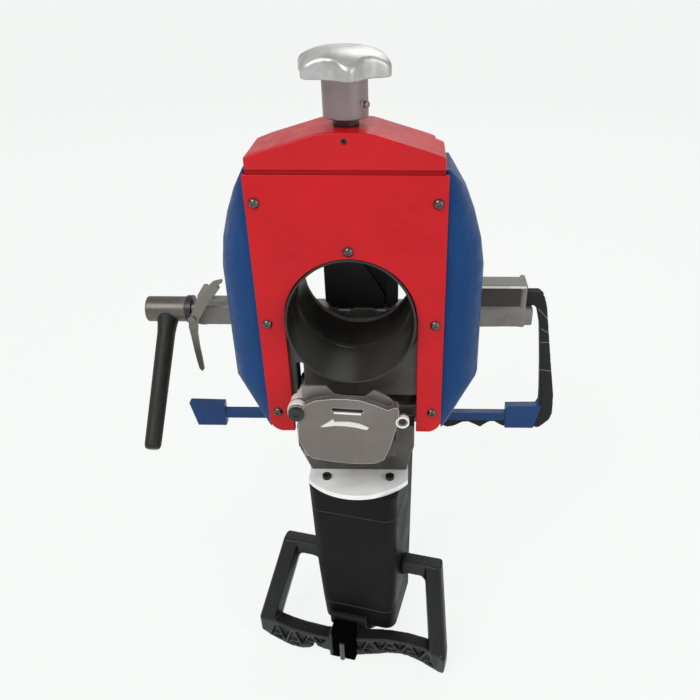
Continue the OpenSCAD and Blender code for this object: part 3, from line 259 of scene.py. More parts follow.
def moulded(name, colour, rough=0.45, grain=0.4, edge=0.0009, spec=0.3, dusty=0.08, dark_middle=None):
    """Black plastic, rubber or blackened steel: grain, dust, scuffed edges and a dark middle."""
    s = Shade(name)
    cloud = s.noise(18, 4, 0.6)
    grit = s.noise(1300, 3, 0.6)
    base = s.blend(s.span(cloud, 0.3, 0.75), shade_of(colour, 0.8), shade_of(colour, 1.3))
    dust = s.span(s.noise(160, 6, 0.75), 0.6, 0.85, 0.0, dusty)
    base = s.blend(dust, base, (0.16, 0.155, 0.15))
    rim = s.math("MULTIPLY", s.edges(edge), s.span(cloud, 0.3, 0.6, 0.15, 0.5))
    base = s.blend(rim, base, tuple(c * 2.0 + 0.02 for c in colour))
    # Darker and without gloss within half of the middle along x.
    if dark_middle:
        middle, half = dark_middle
        off = s.math("ABSOLUTE", s.math("SUBTRACT", s.axis("X"), middle), 0.0)
        clear = s.span(off, half - 0.002, half)
        base = s.blend(clear, shade_of(colour, 0.3), base)
        spec = s.math("MULTIPLY", clear, spec)
    s.colour(base)
    s.set(Roughness=s.span(cloud, 0.3, 0.7, rough - 0.06, rough + 0.1), Specular_IOR_Level=spec)
    s.relief((grit, grain, 0.00018), (s.noise(45, 2), 0.12, 0.001), round_edges=edge)
    return s.mat


def guard_sheet(name, colour, raised, face, proud_at):
    """Rolled guard sheet, with what stands proud of its face worn bright."""
    s = Shade(name)
    lines = s.noise(500, 4, 0.65, (1, 1, 0.15))
    cloud = s.noise(22, 5, 0.65)
    base = s.blend(s.span(cloud, 0.3, 0.75), shade_of(colour, 0.88), shade_of(colour, 1.08))
    # Edges lightened nearly to white: partly rubbed wear, partly a painted highlight along the guard's
    # rim.
    rim = s.math("MULTIPLY", s.edges(0.0011), s.span(cloud, 0.2, 0.6, 0.6, 1.0))
    base = s.blend(rim, base, (0.92, 0.9, 0.86))
    proud = s.span(s.axis("Y"), face, proud_at)
    s.colour(s.blend(proud, base, raised))
    s.set(Metallic=s.span(proud, 0.0, 1.0, 0.6, 0.1))
    s.set(Roughness=s.span(lines, 0.3, 0.7, 0.42, 0.6))
    s.relief((lines, 0.2, 0.00015), (s.noise(60, 3), 0.15, 0.0008), round_edges=0.0006)
    return s.mat


def floor_shade(glow_colour, colour, lift):
    """Floor that keeps the machine's shadow and is seen nearly in the backdrop's colour."""
    s = Shade("pale_floor")
    s.colour(colour)
    s.set(Roughness=0.9, Specular_IOR_Level=0.1)
    glow = s.add("ShaderNodeEmission")
    glow.inputs["Color"].default_value = (*glow_colour, 1.0)
    glow.inputs["Strength"].default_value = 1.0
    mix = s.add("ShaderNodeMixShader")
    path = s.add("ShaderNodeLightPath")
    seen = s.math("MAXIMUM", path.outputs["Is Camera Ray"], path.outputs["Is Glossy Ray"])
    s.link(s.math("MULTIPLY", seen, lift), mix.inputs["Fac"])
    s.link(s.bsdf.outputs["BSDF"], mix.inputs[1])
    s.link(glow.outputs["Emission"], mix.inputs[2])
    s.link(mix.outputs["Shader"], s.out.inputs["Surface"])
    return s.mat


def room_shade(world, glow_colour, strength):
    """Even white light all round, which the camera sees in the backdrop's colour."""
    world.use_nodes = True
    nodes, links = world.node_tree.nodes, world.node_tree.links
    room = nodes["Background"]
    room.inputs["Color"].default_value = (1.0, 1.0, 1.0, 1.0)
    room.inputs["Strength"].default_value = strength
    seen = nodes.new("ShaderNodeBackground")
    seen.inputs["Color"].default_value = (*glow_colour, 1.0)
    path = nodes.new("ShaderNodeLightPath")
    mix = nodes.new("ShaderNodeMixShader")
    links.new(path.outputs["Is Camera Ray"], mix.inputs["Fac"])
    links.new(room.outputs["Background"], mix.inputs[1])
    links.new(seen.outputs["Background"], mix.inputs[2])
    links.new(mix.outputs["Shader"], nodes["World Output"].inputs["Surface"])


# Where a finish changes on a piece, in millimetres from the pipe axis
GUARD_FACE_Y = -32.0
HUB_TOP_Z = 214.0
ROD_TOP_Z = -88.0
LEVER_DARK_Z = -88.0
GRIP_BOSS_X = -21.8


def make_finishes(look):
    """One material for each finish on the machine."""
    red, blue = tuple(look.red), tuple(look.blue)
    guard_face = at(0, GUARD_FACE_Y, 0).y
    hub_top = at(0, 0, HUB_TOP_Z).z
    rod_top = at(0, 0, ROD_TOP_Z).z
    lever_dark = at(0, 0, LEVER_DARK_Z).z
    boss = at(GRIP_BOSS_X, 0, 0).x
    return {
        "red": paint("red_powder_coat", red, spec=0.18, coat=0.08),
        # The cap's coat lightens a wider band along its edges: a painted highlight.
        "red_cap": paint("red_cap_coat_painted_edge_highlight", red, coat=0.1, edge=0.0012),
        # Darkened red of the strip behind the cap's gap: painted shade of that gap.
        "red_gap_shade": paint("red_gap_painted_shade", shade_of(red, 0.6), gloss=0.6, spec=0.1, coat=0.0),
        "blue": paint("blue_powder_coat", blue, gloss=0.42, spec=0.13, coat=0.02),
        "pad": paint("blue_pad_coat", blue, spec=0.25, coat=0.06, edge=0.0016),
        "cast": casting("grey_casting", (0.25, 0.238, 0.215)),
        # Dark brown for the sheet on the beam's recessed web: painted shade of that recess.
        "web": casting("web_painted_shade", (0.05, 0.045, 0.04), rough=0.45, metal=0.5, grain=0.4),
        "yoke": casting("dark_casting", (0.10, 0.095, 0.09), rough=0.5, metal=0.4),
        "case": casting("gear_case_casting", (0.095, 0.087, 0.077), rough=0.45, metal=0.5, grain=0.3),
        # Below the hub's top the knob turns a darker mauve grey: painted shade with a painted reflection
        # of the red cap.
        "knob": casting("satin_alloy_painted_hub_shade", (0.56, 0.56, 0.555), rough=0.4, metal=0.85, grain=0.12, edge=0.0011,
            stain=0.06, below=(hub_top - 0.002, hub_top + 0.001, (0.27, 0.215, 0.215))),
        "shank": casting("blackened_shank", (0.03, 0.027, 0.025), metal=0.5, grain=0.25, edge=0.0007,
            stain=0.3, rim_gain=1.8),
        "worn": casting("worn_steel", (0.235, 0.22, 0.195), rough=0.42, metal=0.8, grain=0.2, edge=0.0006,
            stain=0.25, below=(lever_dark - 0.03, lever_dark, (0.09, 0.083, 0.072))),
        "oxide": casting("oxide_steel", (0.16, 0.145, 0.13), rough=0.42, metal=0.75, grain=0.2,
            edge=0.0007, stain=0.35, rim_gain=2.0, below=(rod_top - 0.006, rod_top, (0.04, 0.035, 0.031))),
        "guard": guard_sheet("guard_sheet", (0.21, 0.19, 0.172), (0.8, 0.78, 0.72), guard_face,
            guard_face - 0.0006),
        # Light strip along the vise's top edge: partly a bright milled edge, partly a painted highlight.
        "milled": turned("milled_edge_and_highlight", (0.8, 0.78, 0.74), rough=0.35, along=(0.1, 1, 1), metal=0.3),
        "back": turned("back_sheet", (0.30, 0.285, 0.265), rough=0.45, along=(1, 1, 0.1), metal=0.6),
        # Flange near white and not metallic: a painted reflection of bright surroundings on the alloy.
        "flange": turned("flange_alloy_painted_reflection", (0.95, 0.95, 0.94), rough=0.45, along=(1, 0.2, 1), metal=0.0,
            edge=0.0006, streak=0.2, rim_gain=1.0),
        "nickel": turned("black_nickel_screw", (0.13, 0.12, 0.115), rough=0.22),
        "screw": turned("plated_screw", (0.5, 0.5, 0.5)),
        "dim_screw": turned("dull_screw", (0.10, 0.10, 0.10), rough=0.4, metal=0.6),
        "bronze": turned("bush_bronze", (0.5, 0.34, 0.15), rough=0.35),
        "steel": turned("ground_steel", (0.42, 0.41, 0.40), rough=0.34, along=(0.05, 1, 1)),
        # Near white and hardly metallic: a painted highlight and reflection on steel pin, sleeve, slot lip
        # and catch ring.
        "bright": turned("pin_painted_highlight", (0.9, 0.89, 0.86), rough=0.35, metal=0.1, edge=0.0006),
        "black_steel": moulded("blackened_steel", (0.016, 0.016, 0.017), rough=0.36, grain=0.25, spec=0.5),
        "black_screw": moulded("black_screw", (0.012, 0.012, 0.013), rough=0.32, grain=0.2, spec=0.5),
        "bore": moulded("blackened_bore", (0.018, 0.0165, 0.0155), rough=0.3, grain=0.2, edge=0.0013,
            spec=0.45),
        "plastic": moulded("black_polyamide", (0.0035, 0.0034, 0.0036), rough=0.5, grain=0.25, spec=0.14,
            dusty=0.03),
        "seam": moulded("scuffed_seam", (0.035, 0.033, 0.031), rough=0.5, grain=0.2),
        "grip": moulded("black_grip", (0.007, 0.007, 0.0075), rough=0.36, grain=0.45, edge=0.0016,
            spec=0.42, dark_middle=(boss, 0.0165)),
        "rubber": moulded("black_rubber", (0.012, 0.012, 0.012), rough=0.6, grain=0.6, dusty=0.2),
        "tape": moulded("worn_tape_edge", (0.16, 0.16, 0.165), rough=0.6, grain=0.3),
    }


# Finish of each solid
FINISH_OF = {
    "vise_body": "cast", "journal_tube": "bore", "tube_screws": "screw", "retaining_ring": "black_steel",
    "base_plate": "cast", "base_screws": "screw", "foot_bar": "pad", "foot_screws": "screw",
    "side_handle": "rubber", "handle_screws": "screw", "lever_pin": "worn", "front_plate": "red",
    "plate_screws": "nickel", "top_cap": "red_cap", "cap_screw": "black_screw", "cap_bush": "bronze",
    "rotor_housing": "blue", "rotor_frame": "yoke", "bearing_front": "bronze", "bearing_rear": "bronze",
    "star_knob": "knob", "knob_set_screw": "black_screw", "thrust_collar": "black_steel",
    "feed_spindle": "steel", "slide_yoke": "yoke", "yoke_nut": "bronze", "yoke_screws": "screw",
    # The guard pin's near white finish is a painted highlight.
    "gear_housing": "case", "guard_plate": "back", "guard_pin": "bright", "motor_flange": "flange",
    "flange_screws": "black_screw", "motor_housing": "plastic", "motor_end_cap": "plastic",
    "handle_frame": "grip", "frame_screw": "dim_screw", "blade_guard": "guard",
    "guard_screw": "black_screw", "saw_blade": "steel", "blade_arbor": "steel", "blade_nut": "steel",
    "clamp_screw": "steel", "screw_collar": "black_steel", "wrench_handle": "oxide", "lock_lever": "worn",
    "left_jaw": "black_steel", "left_carriage": "cast", "right_jaw": "black_steel",
    "right_carriage": "cast",
}

# Material of each finish, once the finishes are made
finishes = {}


# Making of pieces

def body_of(node):
    """Body of the frame that carries that solid."""
    for body, nodes in frame["record"]["behaviour"]["bodies"].items():
        if node in nodes:
            return body
    raise RuntimeError("no body carries " + node)


def joined(node):
    """Copy of a solid with its loose triangles joined and its flat faces made whole."""
    bm = bmesh.new()
    bm.from_mesh(frame["nodes"][node].data)
    bmesh.ops.remove_doubles(bm, verts=bm.verts, dist=0.01 * MM)
    bmesh.ops.dissolve_limit(bm, angle_limit=math.radians(0.5), use_dissolve_boundaries=False,
        verts=bm.verts, edges=bm.edges, delimit=set())
    return bm


def outside_edges(bm, angle, shortest=0.0):
    """Edges that stick out by more than that angle, in degrees."""
    found = []
    for e in bm.edges:
        if len(e.link_faces) == 2 and e.calc_face_angle_signed(0.0) > math.radians(angle):
            if e.calc_length() >= shortest:
                found.append(e)
    return found


def round_off(bm, edges, width, segments=2, clamp=True):
    """Rounds those edges to a width in metres."""
    bmesh.ops.bevel(bm, geom=edges, offset=width, offset_type="OFFSET", affect="EDGES", segments=segments,
        profile=0.5, material=-1, clamp_overlap=clamp)


def settle(context, bm, name, finish, body, smooth_angle=38.0, replaces=(), even=True):
    """Turns a bmesh into a finished piece that rides on a body."""
    mesh = bpy.data.meshes.new(name)
    bm.to_mesh(mesh)
    bm.free()
    mesh.shade_smooth()
    mesh.set_sharp_from_angle(angle=math.radians(smooth_angle))
    piece = bpy.data.objects.new(name, mesh)
    context.scene.collection.objects.link(piece)
    mesh.materials.append(finishes[finish])
    if even:
        level = piece.modifiers.new("even_light", "WEIGHTED_NORMAL")
        level.keep_sharp = True
        level.weight = 80
    if replaces:
        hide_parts(*replaces)
    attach(piece, body)


def eased(context, node, width, angle=30.0, segments=2, shortest=0.0, even=True):
    """Stands for a solid with its outside edges rounded to that width, in metres."""
    bm = joined(node)
    round_off(bm, outside_edges(bm, angle, shortest), width, segments, clamp=shortest == 0.0)
    settle(context, bm, node + "_eased", FINISH_OF[node], body_of(node), replaces=(node,), even=even)


def poured(context, node, cell, passes, reshape=None):
    """Stands for a solid with its corners softened as a mould leaves them, and shifted by reshape."""
    bm = joined(node)
    if reshape:
        for v in bm.verts:
            v.co += Vector(reshape(*((v.co - AXIS) / MM))) * MM
    mesh = bpy.data.meshes.new(node + "_rough")
    bm.to_mesh(mesh)
    bm.free()
    rough = bpy.data.objects.new(node + "_rough", mesh)
    context.scene.collection.objects.link(rough)
    grid = rough.modifiers.new("skin", "REMESH")
    grid.mode = "VOXEL"
    grid.voxel_size = cell
    ease = rough.modifiers.new("ease", "SMOOTH")
    ease.factor = 0.5
    ease.iterations = passes
    solid = bpy.data.meshes.new_from_object(rough.evaluated_get(context.evaluated_depsgraph_get()))
    bpy.data.objects.remove(rough)
    solid.name = node + "_poured"
    solid.shade_smooth()
    solid.materials.clear()
    solid.materials.append(finishes[FINISH_OF[node]])
    piece = bpy.data.objects.new(node + "_poured", solid)
    context.scene.collection.objects.link(piece)
    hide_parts(node)
    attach(piece, body_of(node))


def rod(bm, start, end, radius, sides=32):
    """Adds a plain round bar with rounded rims between two points."""
    axis = end - start
    turn = axis.to_track_quat("Z", "Y").to_matrix().to_4x4()
    made = bmesh.ops.create_cone(bm, cap_ends=True, segments=sides, radius1=radius, radius2=radius,
        depth=axis.length, matrix=Matrix.Translation((start + end) / 2) @ turn)
    rims = [e for e in bm.edges if all(v in made["verts"] for v in e.verts) and e.is_manifold
        and e.calc_face_angle(0.0) > 1.0]
    round_off(bm, rims, radius * 0.18)


def block(context, name, finish, body, low, high, edge, segments=2):
    """Makes a block between two corners, with its edges eased by so many millimetres."""
    bm = bmesh.new()
    bmesh.ops.create_cube(bm, size=1.0, matrix=Matrix.Translation((low + high) / 2)
        @ Matrix.Diagonal((*(high - low), 1.0)))
    round_off(bm, list(bm.edges), edge * MM, segments)
    settle(context, bm, name, finish, body)


def loft(bm, sections, ends=True):
    """Joins closed rings of points into one skin."""
    loops = []
    for points in sections:
        verts = [bm.verts.new(p) for p in points]
        loops.append([bm.edges.new((verts[i - 1], verts[i])) for i in range(len(verts))])
    for a, b in zip(loops, loops[1:]):
        bmesh.ops.bridge_loops(bm, edges=a + b)
    if ends:
        for loop in (loops[0], loops[-1]):
            bmesh.ops.contextual_create(bm, geom=loop)
    bmesh.ops.remove_doubles(bm, verts=bm.verts, dist=0.001 * MM)
    bmesh.ops.recalc_face_normals(bm, faces=bm.faces)


def circle(radius, sides):
    """Two coordinates of each point of a circle about nought."""
    return [(radius * math.cos(i * math.tau / sides), radius * math.sin(i * math.tau / sides))
        for i in range(sides)]


def bored(context, bm, start, end, radius):
    """Drills a round hole through a closed skin and gives back the drilled one."""
    tool = bmesh.new()
    rod(tool, start, end, radius)
    pair = []
    for form in (bm, tool):
        mesh = bpy.data.meshes.new("blank")
        form.to_mesh(mesh)
        form.free()
        pair.append(bpy.data.objects.new("blank", mesh))
        context.scene.collection.objects.link(pair[-1])
    cut = pair[0].modifiers.new("hole", "BOOLEAN")
    cut.operation = "DIFFERENCE"
    cut.solver = "EXACT"
    cut.object = pair[1]
    context.view_layer.update()
    mesh = bpy.data.meshes.new_from_object(pair[0].evaluated_get(context.evaluated_depsgraph_get()))
    for blank in pair:
        bpy.data.objects.remove(blank)
    drilled = bmesh.new()
    drilled.from_mesh(mesh)
    bpy.data.meshes.remove(mesh)
    return drilled


class CutterLook(bpy.types.PropertyGroup):
    """Colours and sizes of the scene that a user would change."""

    red: bpy.props.FloatVectorProperty(name="Red Paint", description="Colour of the front plate and cap",
        subtype="COLOR", size=3, min=0.0, max=1.0, default=(0.555, 0.0075, 0.0125))
    blue: bpy.props.FloatVectorProperty(name="Blue Paint", description="Colour of the housing and foot",
        subtype="COLOR", size=3, min=0.0, max=1.0, default=(0.004, 0.048, 0.172))
    floor: bpy.props.FloatVectorProperty(name="Floor", description="Colour of the floor",
        subtype="COLOR", size=3, min=0.0, max=1.0, default=(0.90, 0.915, 0.91))
    glow: bpy.props.FloatVectorProperty(name="Backdrop", description="Colour the camera sees in the floor",
        subtype="COLOR", size=3, min=0.0, max=1.0, default=(0.95, 0.965, 0.955))
    lens: bpy.props.FloatProperty(name="Lens", description="Focal length of the camera in millimetres",
        default=36.0, min=10.0, max=200.0)
    sheet_edge: bpy.props.FloatProperty(name="Sheet Edge", description="Rounding of plate and sheet edges",
        default=0.0007, min=0.0001, max=0.002, unit="LENGTH")
    plate_edge: bpy.props.FloatProperty(name="Plate Edge", description="Rounding of the red plate's edges",
        default=0.0009, min=0.0001, max=0.002, unit="LENGTH")
    cap_edge: bpy.props.FloatProperty(name="Cap Edge", description="Rounding of the top cap's edges",
        default=0.0018, min=0.0001, max=0.004, unit="LENGTH")
    drum_edge: bpy.props.FloatProperty(name="Housing Edge", description="Rounding of the housing's edges",
        default=0.0025, min=0.0001, max=0.004, unit="LENGTH")
    fine_edge: bpy.props.FloatProperty(name="Fine Edge", description="Rounding of screws and small steel",
        default=0.0003, min=0.0001, max=0.001, unit="LENGTH")
    cast_cell: bpy.props.FloatProperty(name="Casting Skin", description="Grain of the castings' skins",
        default=0.0014, min=0.0008, max=0.003, unit="LENGTH")


class CUTTER_OT_finishes(bpy.types.Operator):
    """Gives every solid of the frame its finish"""
    bl_idname = "cutter.finishes"
    bl_label = "Finishes"

    def execute(self, context):
        finishes.update(make_finishes(context.scene.cutter_look))
        for name, kind in FINISH_OF.items():
            node = frame["nodes"].get(name)
            if node is None:
                raise RuntimeError("no solid named " + name)
            if not node.material_slots:
                node.data.materials.append(finishes[kind])
            for slot in node.material_slots:
                slot.material = finishes[kind]
        return {"FINISHED"}


class CUTTER_OT_red_cover(bpy.types.Operator):
    """Makes the red front plate and top cap with their screws"""
    bl_idname = "cutter.red_cover"
    bl_label = "Red Cover"

    def execute(self, context):
        look = context.scene.cutter_look
        # Edges shorter than this are left sharp, in metres
        shortest = 0.005
        eased(context, "front_plate", look.plate_edge, shortest=shortest)
        eased(context, "top_cap", look.cap_edge, angle=24.0, segments=3, shortest=shortest)
        # Dark red strip behind the gap between cap and plate, standing for the gap's shade: painted shade.
        low, high = at(-85.0, 0.6, 140.1), at(85.0, 5.4, 143.5)
        block(context, "cap_gap_shade_strip", "red_gap_shade", "rotor", low, high, edge=0.4, segments=1)
        eased(context, "plate_screws", look.fine_edge)
        eased(context, "cap_screw", look.fine_edge)
        return {"FINISHED"}


class CUTTER_OT_rotor(bpy.types.Operator):
    """Makes the blue rotor housing and what shows inside it"""
    bl_idname = "cutter.rotor"
    bl_label = "Rotor"

    def execute(self, context):
        look = context.scene.cutter_look
        eased(context, "rotor_housing", look.drum_edge, angle=24.0, segments=3, even=False)
        eased(context, "rotor_frame", look.sheet_edge)
        eased(context, "slide_yoke", look.sheet_edge)
        return {"FINISHED"}


class CUTTER_OT_feed(bpy.types.Operator):
    """Makes the star knob and its collar"""
    bl_idname = "cutter.feed"
    bl_label = "Feed Knob"

    # Lengths in millimetres from the pipe axis, angles in degrees
    axis_y = 30.0
    reach = 41.8
    flat = 33.0
    tips = 6
    first_tip = -79.7
    hub = 19.5
    hub_low = 182.0
    crown = 237.6
    # Turn and height of the grub screw, its reach from the axis and that of its hole
    screw_turn = -33.0
    screw_height = 194.0
    screw_from, screw_to, screw_radius = 7.5, 16.5, 2.5
    hole_from, hole_to, hole_radius = 12.0, 24.0, 2.7
    hub_profile = ((7.1, 186.0), (7.1, hub_low), (hub - 1.2, hub_low), (hub - 0.4, hub_low + 0.4),
        (hub, hub_low + 1.2), (hub, 222.0))
    # Share of the reach and height, from under the rim out to its side
    under_rim = ((0.84, 223.6), (0.9, 222.0), (0.915, 217.6), (0.94, 216.4), (0.97, 216.0), (0.992, 216.4),
        (1.0, 217.6))
    # Share of the reach and depth below the dome, from the rim in to the middle
    over_rim = ((1.0, 3.4), (0.997, 2.2), (0.985, 1.1), (0.965, 0.35), (0.94, 0.0), (0.86, 0.0),
        (0.76, 0.0), (0.62, 0.0), (0.45, 0.0), (0.28, 0.0), (0.1, 0.0))

    def execute(self, context):
        look = context.scene.cutter_look
        rings = [self.ring(radius, 0.0, height) for radius, height in self.hub_profile]
        rings.append(self.ring(self.hub + 2.0, 0.4, 223.6))
        rings += [self.ring(self.reach * share, share, height) for share, height in self.under_rim]
        rings += [self.dome(share, drop) for share, drop in self.over_rim]
        bm = bmesh.new()
        loft(bm, rings)
        turn = math.radians(self.screw_turn)
        out = Vector((math.cos(turn), math.sin(turn), 0.0))
        middle = at(0, self.axis_y, self.screw_height)
        bm = bored(context, bm, middle + out * self.hole_from * MM, middle + out * self.hole_to * MM,
            self.hole_radius * MM)
        settle(context, bm, "star_knob_cast", "knob", "size_knob", 32.0, ("star_knob",))
        bm = bmesh.new()
        rod(bm, middle + out * self.screw_from * MM, middle + out * self.screw_to * MM,
            self.screw_radius * MM)
        settle(context, bm, "knob_grub_screw", "black_screw", "size_knob", replaces=("knob_set_screw",))
        eased(context, "thrust_collar", look.fine_edge)
        return {"FINISHED"}

    def star(self, turn):
        """Radius of the star's rim at an angle."""
        tip = (1.0 + math.cos(math.radians(self.tips * (turn - self.first_tip)))) / 2.0
        return self.flat + (self.reach - self.flat) * tip ** 1.6

    def around(self, radius_at, height_at, count=144):
        """Ring about the knob's axis, from its radius at an angle and its height at a radius."""
        points = []
        for i in range(count):
            turn = i * 360.0 / count
            r = radius_at(turn)
            x, y = r * math.cos(math.radians(turn)), r * math.sin(math.radians(turn))
            points.append(at(x, self.axis_y + y, height_at(r)))
        return points

    def ring(self, radius, starry, height):
        """Level ring, from round at 0 to star shaped at 1."""
        return self.around(lambda turn: radius * (1.0 - starry + starry * self.star(turn) / self.reach),
            lambda r: height)

    def dome(self, share, drop):
        """Star shaped ring on the knob's domed top."""
        return self.around(lambda turn: share * self.star(turn),
            lambda r: self.crown - 6.2 * (r / 34.0) ** 3.0 - drop)


class CUTTER_OT_vise(bpy.types.Operator):
    """Makes the vise body, its jaws, the journal and the base"""
    bl_idname = "cutter.vise"
    bl_label = "Vise"

    def execute(self, context):
        look = context.scene.cutter_look
        poured(context, "vise_body", look.cast_cell, passes=3, reshape=self.raised_floor)
        for name, finish, low, high, edge in (
                # Light strip along the top edge: partly a milled edge, partly a painted highlight.
                ("milled_line_and_highlight", "milled", at(123, 135.6, -31.9), at(188, 136.4, -29.4), 0.2),
                # Dark sheet on the recessed web: painted shade.
                ("web_shade_sheet", "web", at(124, 138.3, -57.0), at(185, 139.2, -32.6), 0.3),
                ("ledge_end", "cast", at(186, 136.4, -80.5), at(198.5, 166, -58.6), 2.0)):
            block(context, name, finish, "vise", low, high, edge)
        eased(context, "journal_tube", look.sheet_edge)
        eased(context, "base_plate", look.sheet_edge)
        eased(context, "left_jaw", look.fine_edge)
        eased(context, "right_jaw", look.fine_edge)
        eased(context, "left_carriage", look.sheet_edge)
        eased(context, "right_carriage", look.sheet_edge)
        eased(context, "foot_bar", look.sheet_edge * 1.6)
        return {"FINISHED"}

    def raised_floor(self, x, y, z):
        """Lifts the beam's underside outside the column."""
        column_half, underside, lift = 60, -86, 5.0
        return (0, 0, lift if abs(x) > column_half and z < underside else 0)


class CUTTER_OT_clamp(bpy.types.Operator):
    """Makes the clamp wrench, its collar and the lock lever"""
    bl_idname = "cutter.clamp"
    bl_label = "Clamp Wrench"

    # Lean of the wrench towards the viewer in degrees, its reach and its socket's middle in millimetres
    lean = 49.0
    reach = 167.0
    socket = (-230, 151, -69.2)
    # Reach along the shank and its radius in millimetres
    shank = ((10, 12.2), (16, 11.8), (22, 10.9), (30, 10.2), (60, 9.9), (110, 9.4), (reach - 12, 9.1),
        (reach - 4, 8.9), (reach - 1, 8.0), (reach + 0.3, 6.2))
    # Outline of the lock lever, x and z in millimetres from the pipe axis
    lever = ((-155.5, -19.0), (-165.4, -21.5), (-175.5, -30.4), (-184.9, -42.8), (-193.3, -56.8),
        (-200.5, -70.0), (-201.6, -80.3), (-200.7, -91.9), (-199.8, -112.8), (-198.6, -128.6),
        (-197.6, -137.0), (-194.6, -140.7), (-192.2, -138.5), (-192.3, -124.9), (-193.0, -106.7),
        (-192.6, -89.0), (-190.6, -77.0), (-187.4, -69.4), (-182.0, -60.9), (-174.5, -49.4),
        (-167.0, -39.9), (-158.9, -29.5), (-160.8, -26.4), (-154.7, -21.9))
    lever_front = 125.0
    lever_thick = 5.5
    lever_edge = 1.1

    def execute(self, context):
        look = context.scene.cutter_look
        poured(context, "wrench_handle", cell=0.0009, passes=6)
        eased(context, "screw_collar", look.fine_edge)
        bm = bmesh.new()
        front = [bm.verts.new(at(x, self.lever_front, z)) for x, z in self.lever]
        body = bmesh.ops.extrude_face_region(bm, geom=[bm.faces.new(front)])
        moved = [v for v in body["geom"] if isinstance(v, bmesh.types.BMVert)]
        bmesh.ops.translate(bm, vec=(0, self.lever_thick * MM, 0), verts=moved)
        bmesh.ops.recalc_face_normals(bm, faces=bm.faces)
        round_off(bm, outside_edges(bm, 60.0), self.lever_edge * MM)
        settle(context, bm, "lock_lever_blade", "worn", "lock_lever", replaces=("lock_lever",))
        lean = math.radians(self.lean)
        down = Vector((0.0, -math.sin(lean), -math.cos(lean)))
        turn = down.to_track_quat("Z", "Y").to_matrix()
        bm = bmesh.new()
        loft(bm, [[at(*self.socket) + down * reach * MM + turn @ Vector((x, y, 0.0)) * MM
            for x, y in circle(radius, 40)] for reach, radius in self.shank])
        settle(context, bm, "wrench_shank", "shank", "clamp_spindle")
        return {"FINISHED"}


class CUTTER_OT_carry_handle(bpy.types.Operator):
    """Makes the side handle"""
    bl_idname = "cutter.carry_handle"
    bl_label = "Side Handle"

    # Start and end of the tape's edges across the grip, x and z in millimetres, at the grip's front
    tape_edges = (((205.4, -61.8), (217.4, -74.8)), ((211.2, -88.6), (220.8, -94.4)),
        ((212.9, -107.3), (223.2, -107.2)), ((216.2, -146.0), (228.6, -148.0)))
    grip_front = 143.9

    def execute(self, context):
        poured(context, "side_handle", cell=0.0011, passes=4)
        for i, ends in enumerate(self.tape_edges):
            start, end = (at(x, self.grip_front, z) for x, z in ends)
            bm = bmesh.new()
            rod(bm, start, end, radius=0.0006, sides=12)
            settle(context, bm, "tape_edge_%d" % (i + 1), "tape", "vise")
        return {"FINISHED"}


class CUTTER_OT_saw_head(bpy.types.Operator):
    """Makes the gear case and its flange, and the guard with its plate, pin and catch"""
    bl_idname = "cutter.saw_head"
    bl_label = "Saw Head"

    # Places in millimetres from the pipe axis
    trim_place = (42.0, -17, -105)
    trim_side = (0.965, 0.0, -0.262)
    pivot_x, pivot_z = -54, -86.5
    catch_x, catch_z = 49.4, -96
    # Radius and y round the wall of the catch's ring
    catch_profile = ((5.2, -28.0), (5.2, -32.4), (5.6, -32.8), (6.3, -32.8), (6.7, -32.4), (6.7, -28.0),
        (5.2, -28.0))

    def execute(self, context):
        look = context.scene.cutter_look
        poured(context, "gear_housing", cell=0.0012, passes=3, reshape=self.set_back)
        eased(context, "blade_guard", look.sheet_edge)
        self.trimmed_plate(context)
        eased(context, "guard_pin", look.fine_edge)
        for name, finish, start, end, radius in (
                # Pivot sleeve in the near white finish: a painted highlight on the sleeve.
                ("pivot_sleeve", "bright", (self.pivot_x, -28.6, self.pivot_z),
                    (self.pivot_x, -19.7, self.pivot_z), 0.0096),
                # Near white bead under the slot: a painted highlight along the slot's lower edge.
                ("slot_lip_highlight", "bright", (-17.4, -32.3, -84.6), (9.2, -32.3, -86.2), 0.001),
                ("catch_plug", "black_screw", (self.catch_x, -31.0, self.catch_z),
                    (self.catch_x, -26, self.catch_z), 0.0048)):
            bm = bmesh.new()
            rod(bm, at(*start), at(*end), radius)
            settle(context, bm, name, finish, "guard")
        # Catch ring in the near white finish: a painted highlight on the ring.
        bm = bmesh.new()
        loft(bm, [[at(self.catch_x + x, y, self.catch_z + z) for x, z in circle(radius, 48)]
            for radius, y in self.catch_profile], ends=False)
        settle(context, bm, "catch_ring", "bright", "guard")
        eased(context, "motor_flange", look.sheet_edge)
        eased(context, "flange_screws", look.fine_edge)
        eased(context, "guard_screw", look.fine_edge)
        return {"FINISHED"}

    def trimmed_plate(self, context):
        """Guard's back plate with its right corner cut off slantwise."""
        bm = joined("guard_plate")
        cut = bmesh.ops.bisect_plane(bm, geom=bm.verts[:] + bm.edges[:] + bm.faces[:], dist=0.01 * MM,
            plane_co=at(*self.trim_place), plane_no=self.trim_side, clear_outer=True)
        rims = [e for e in cut["geom_cut"] if isinstance(e, bmesh.types.BMEdge)]
        bmesh.ops.holes_fill(bm, edges=rims, sides=0)
        bmesh.ops.recalc_face_normals(bm, faces=bm.faces)
        settle(context, bm, "guard_plate_trimmed", "back", "saw_head", replaces=("guard_plate",))

    def set_back(self, x, y, z):
        """Sets the foot of the case's front back, so that more of the flange shows."""
        foot_top, front_depth, shift = -200, 23, 4.0
        return (0, shift if z < foot_top and y < front_depth else 0, 0)


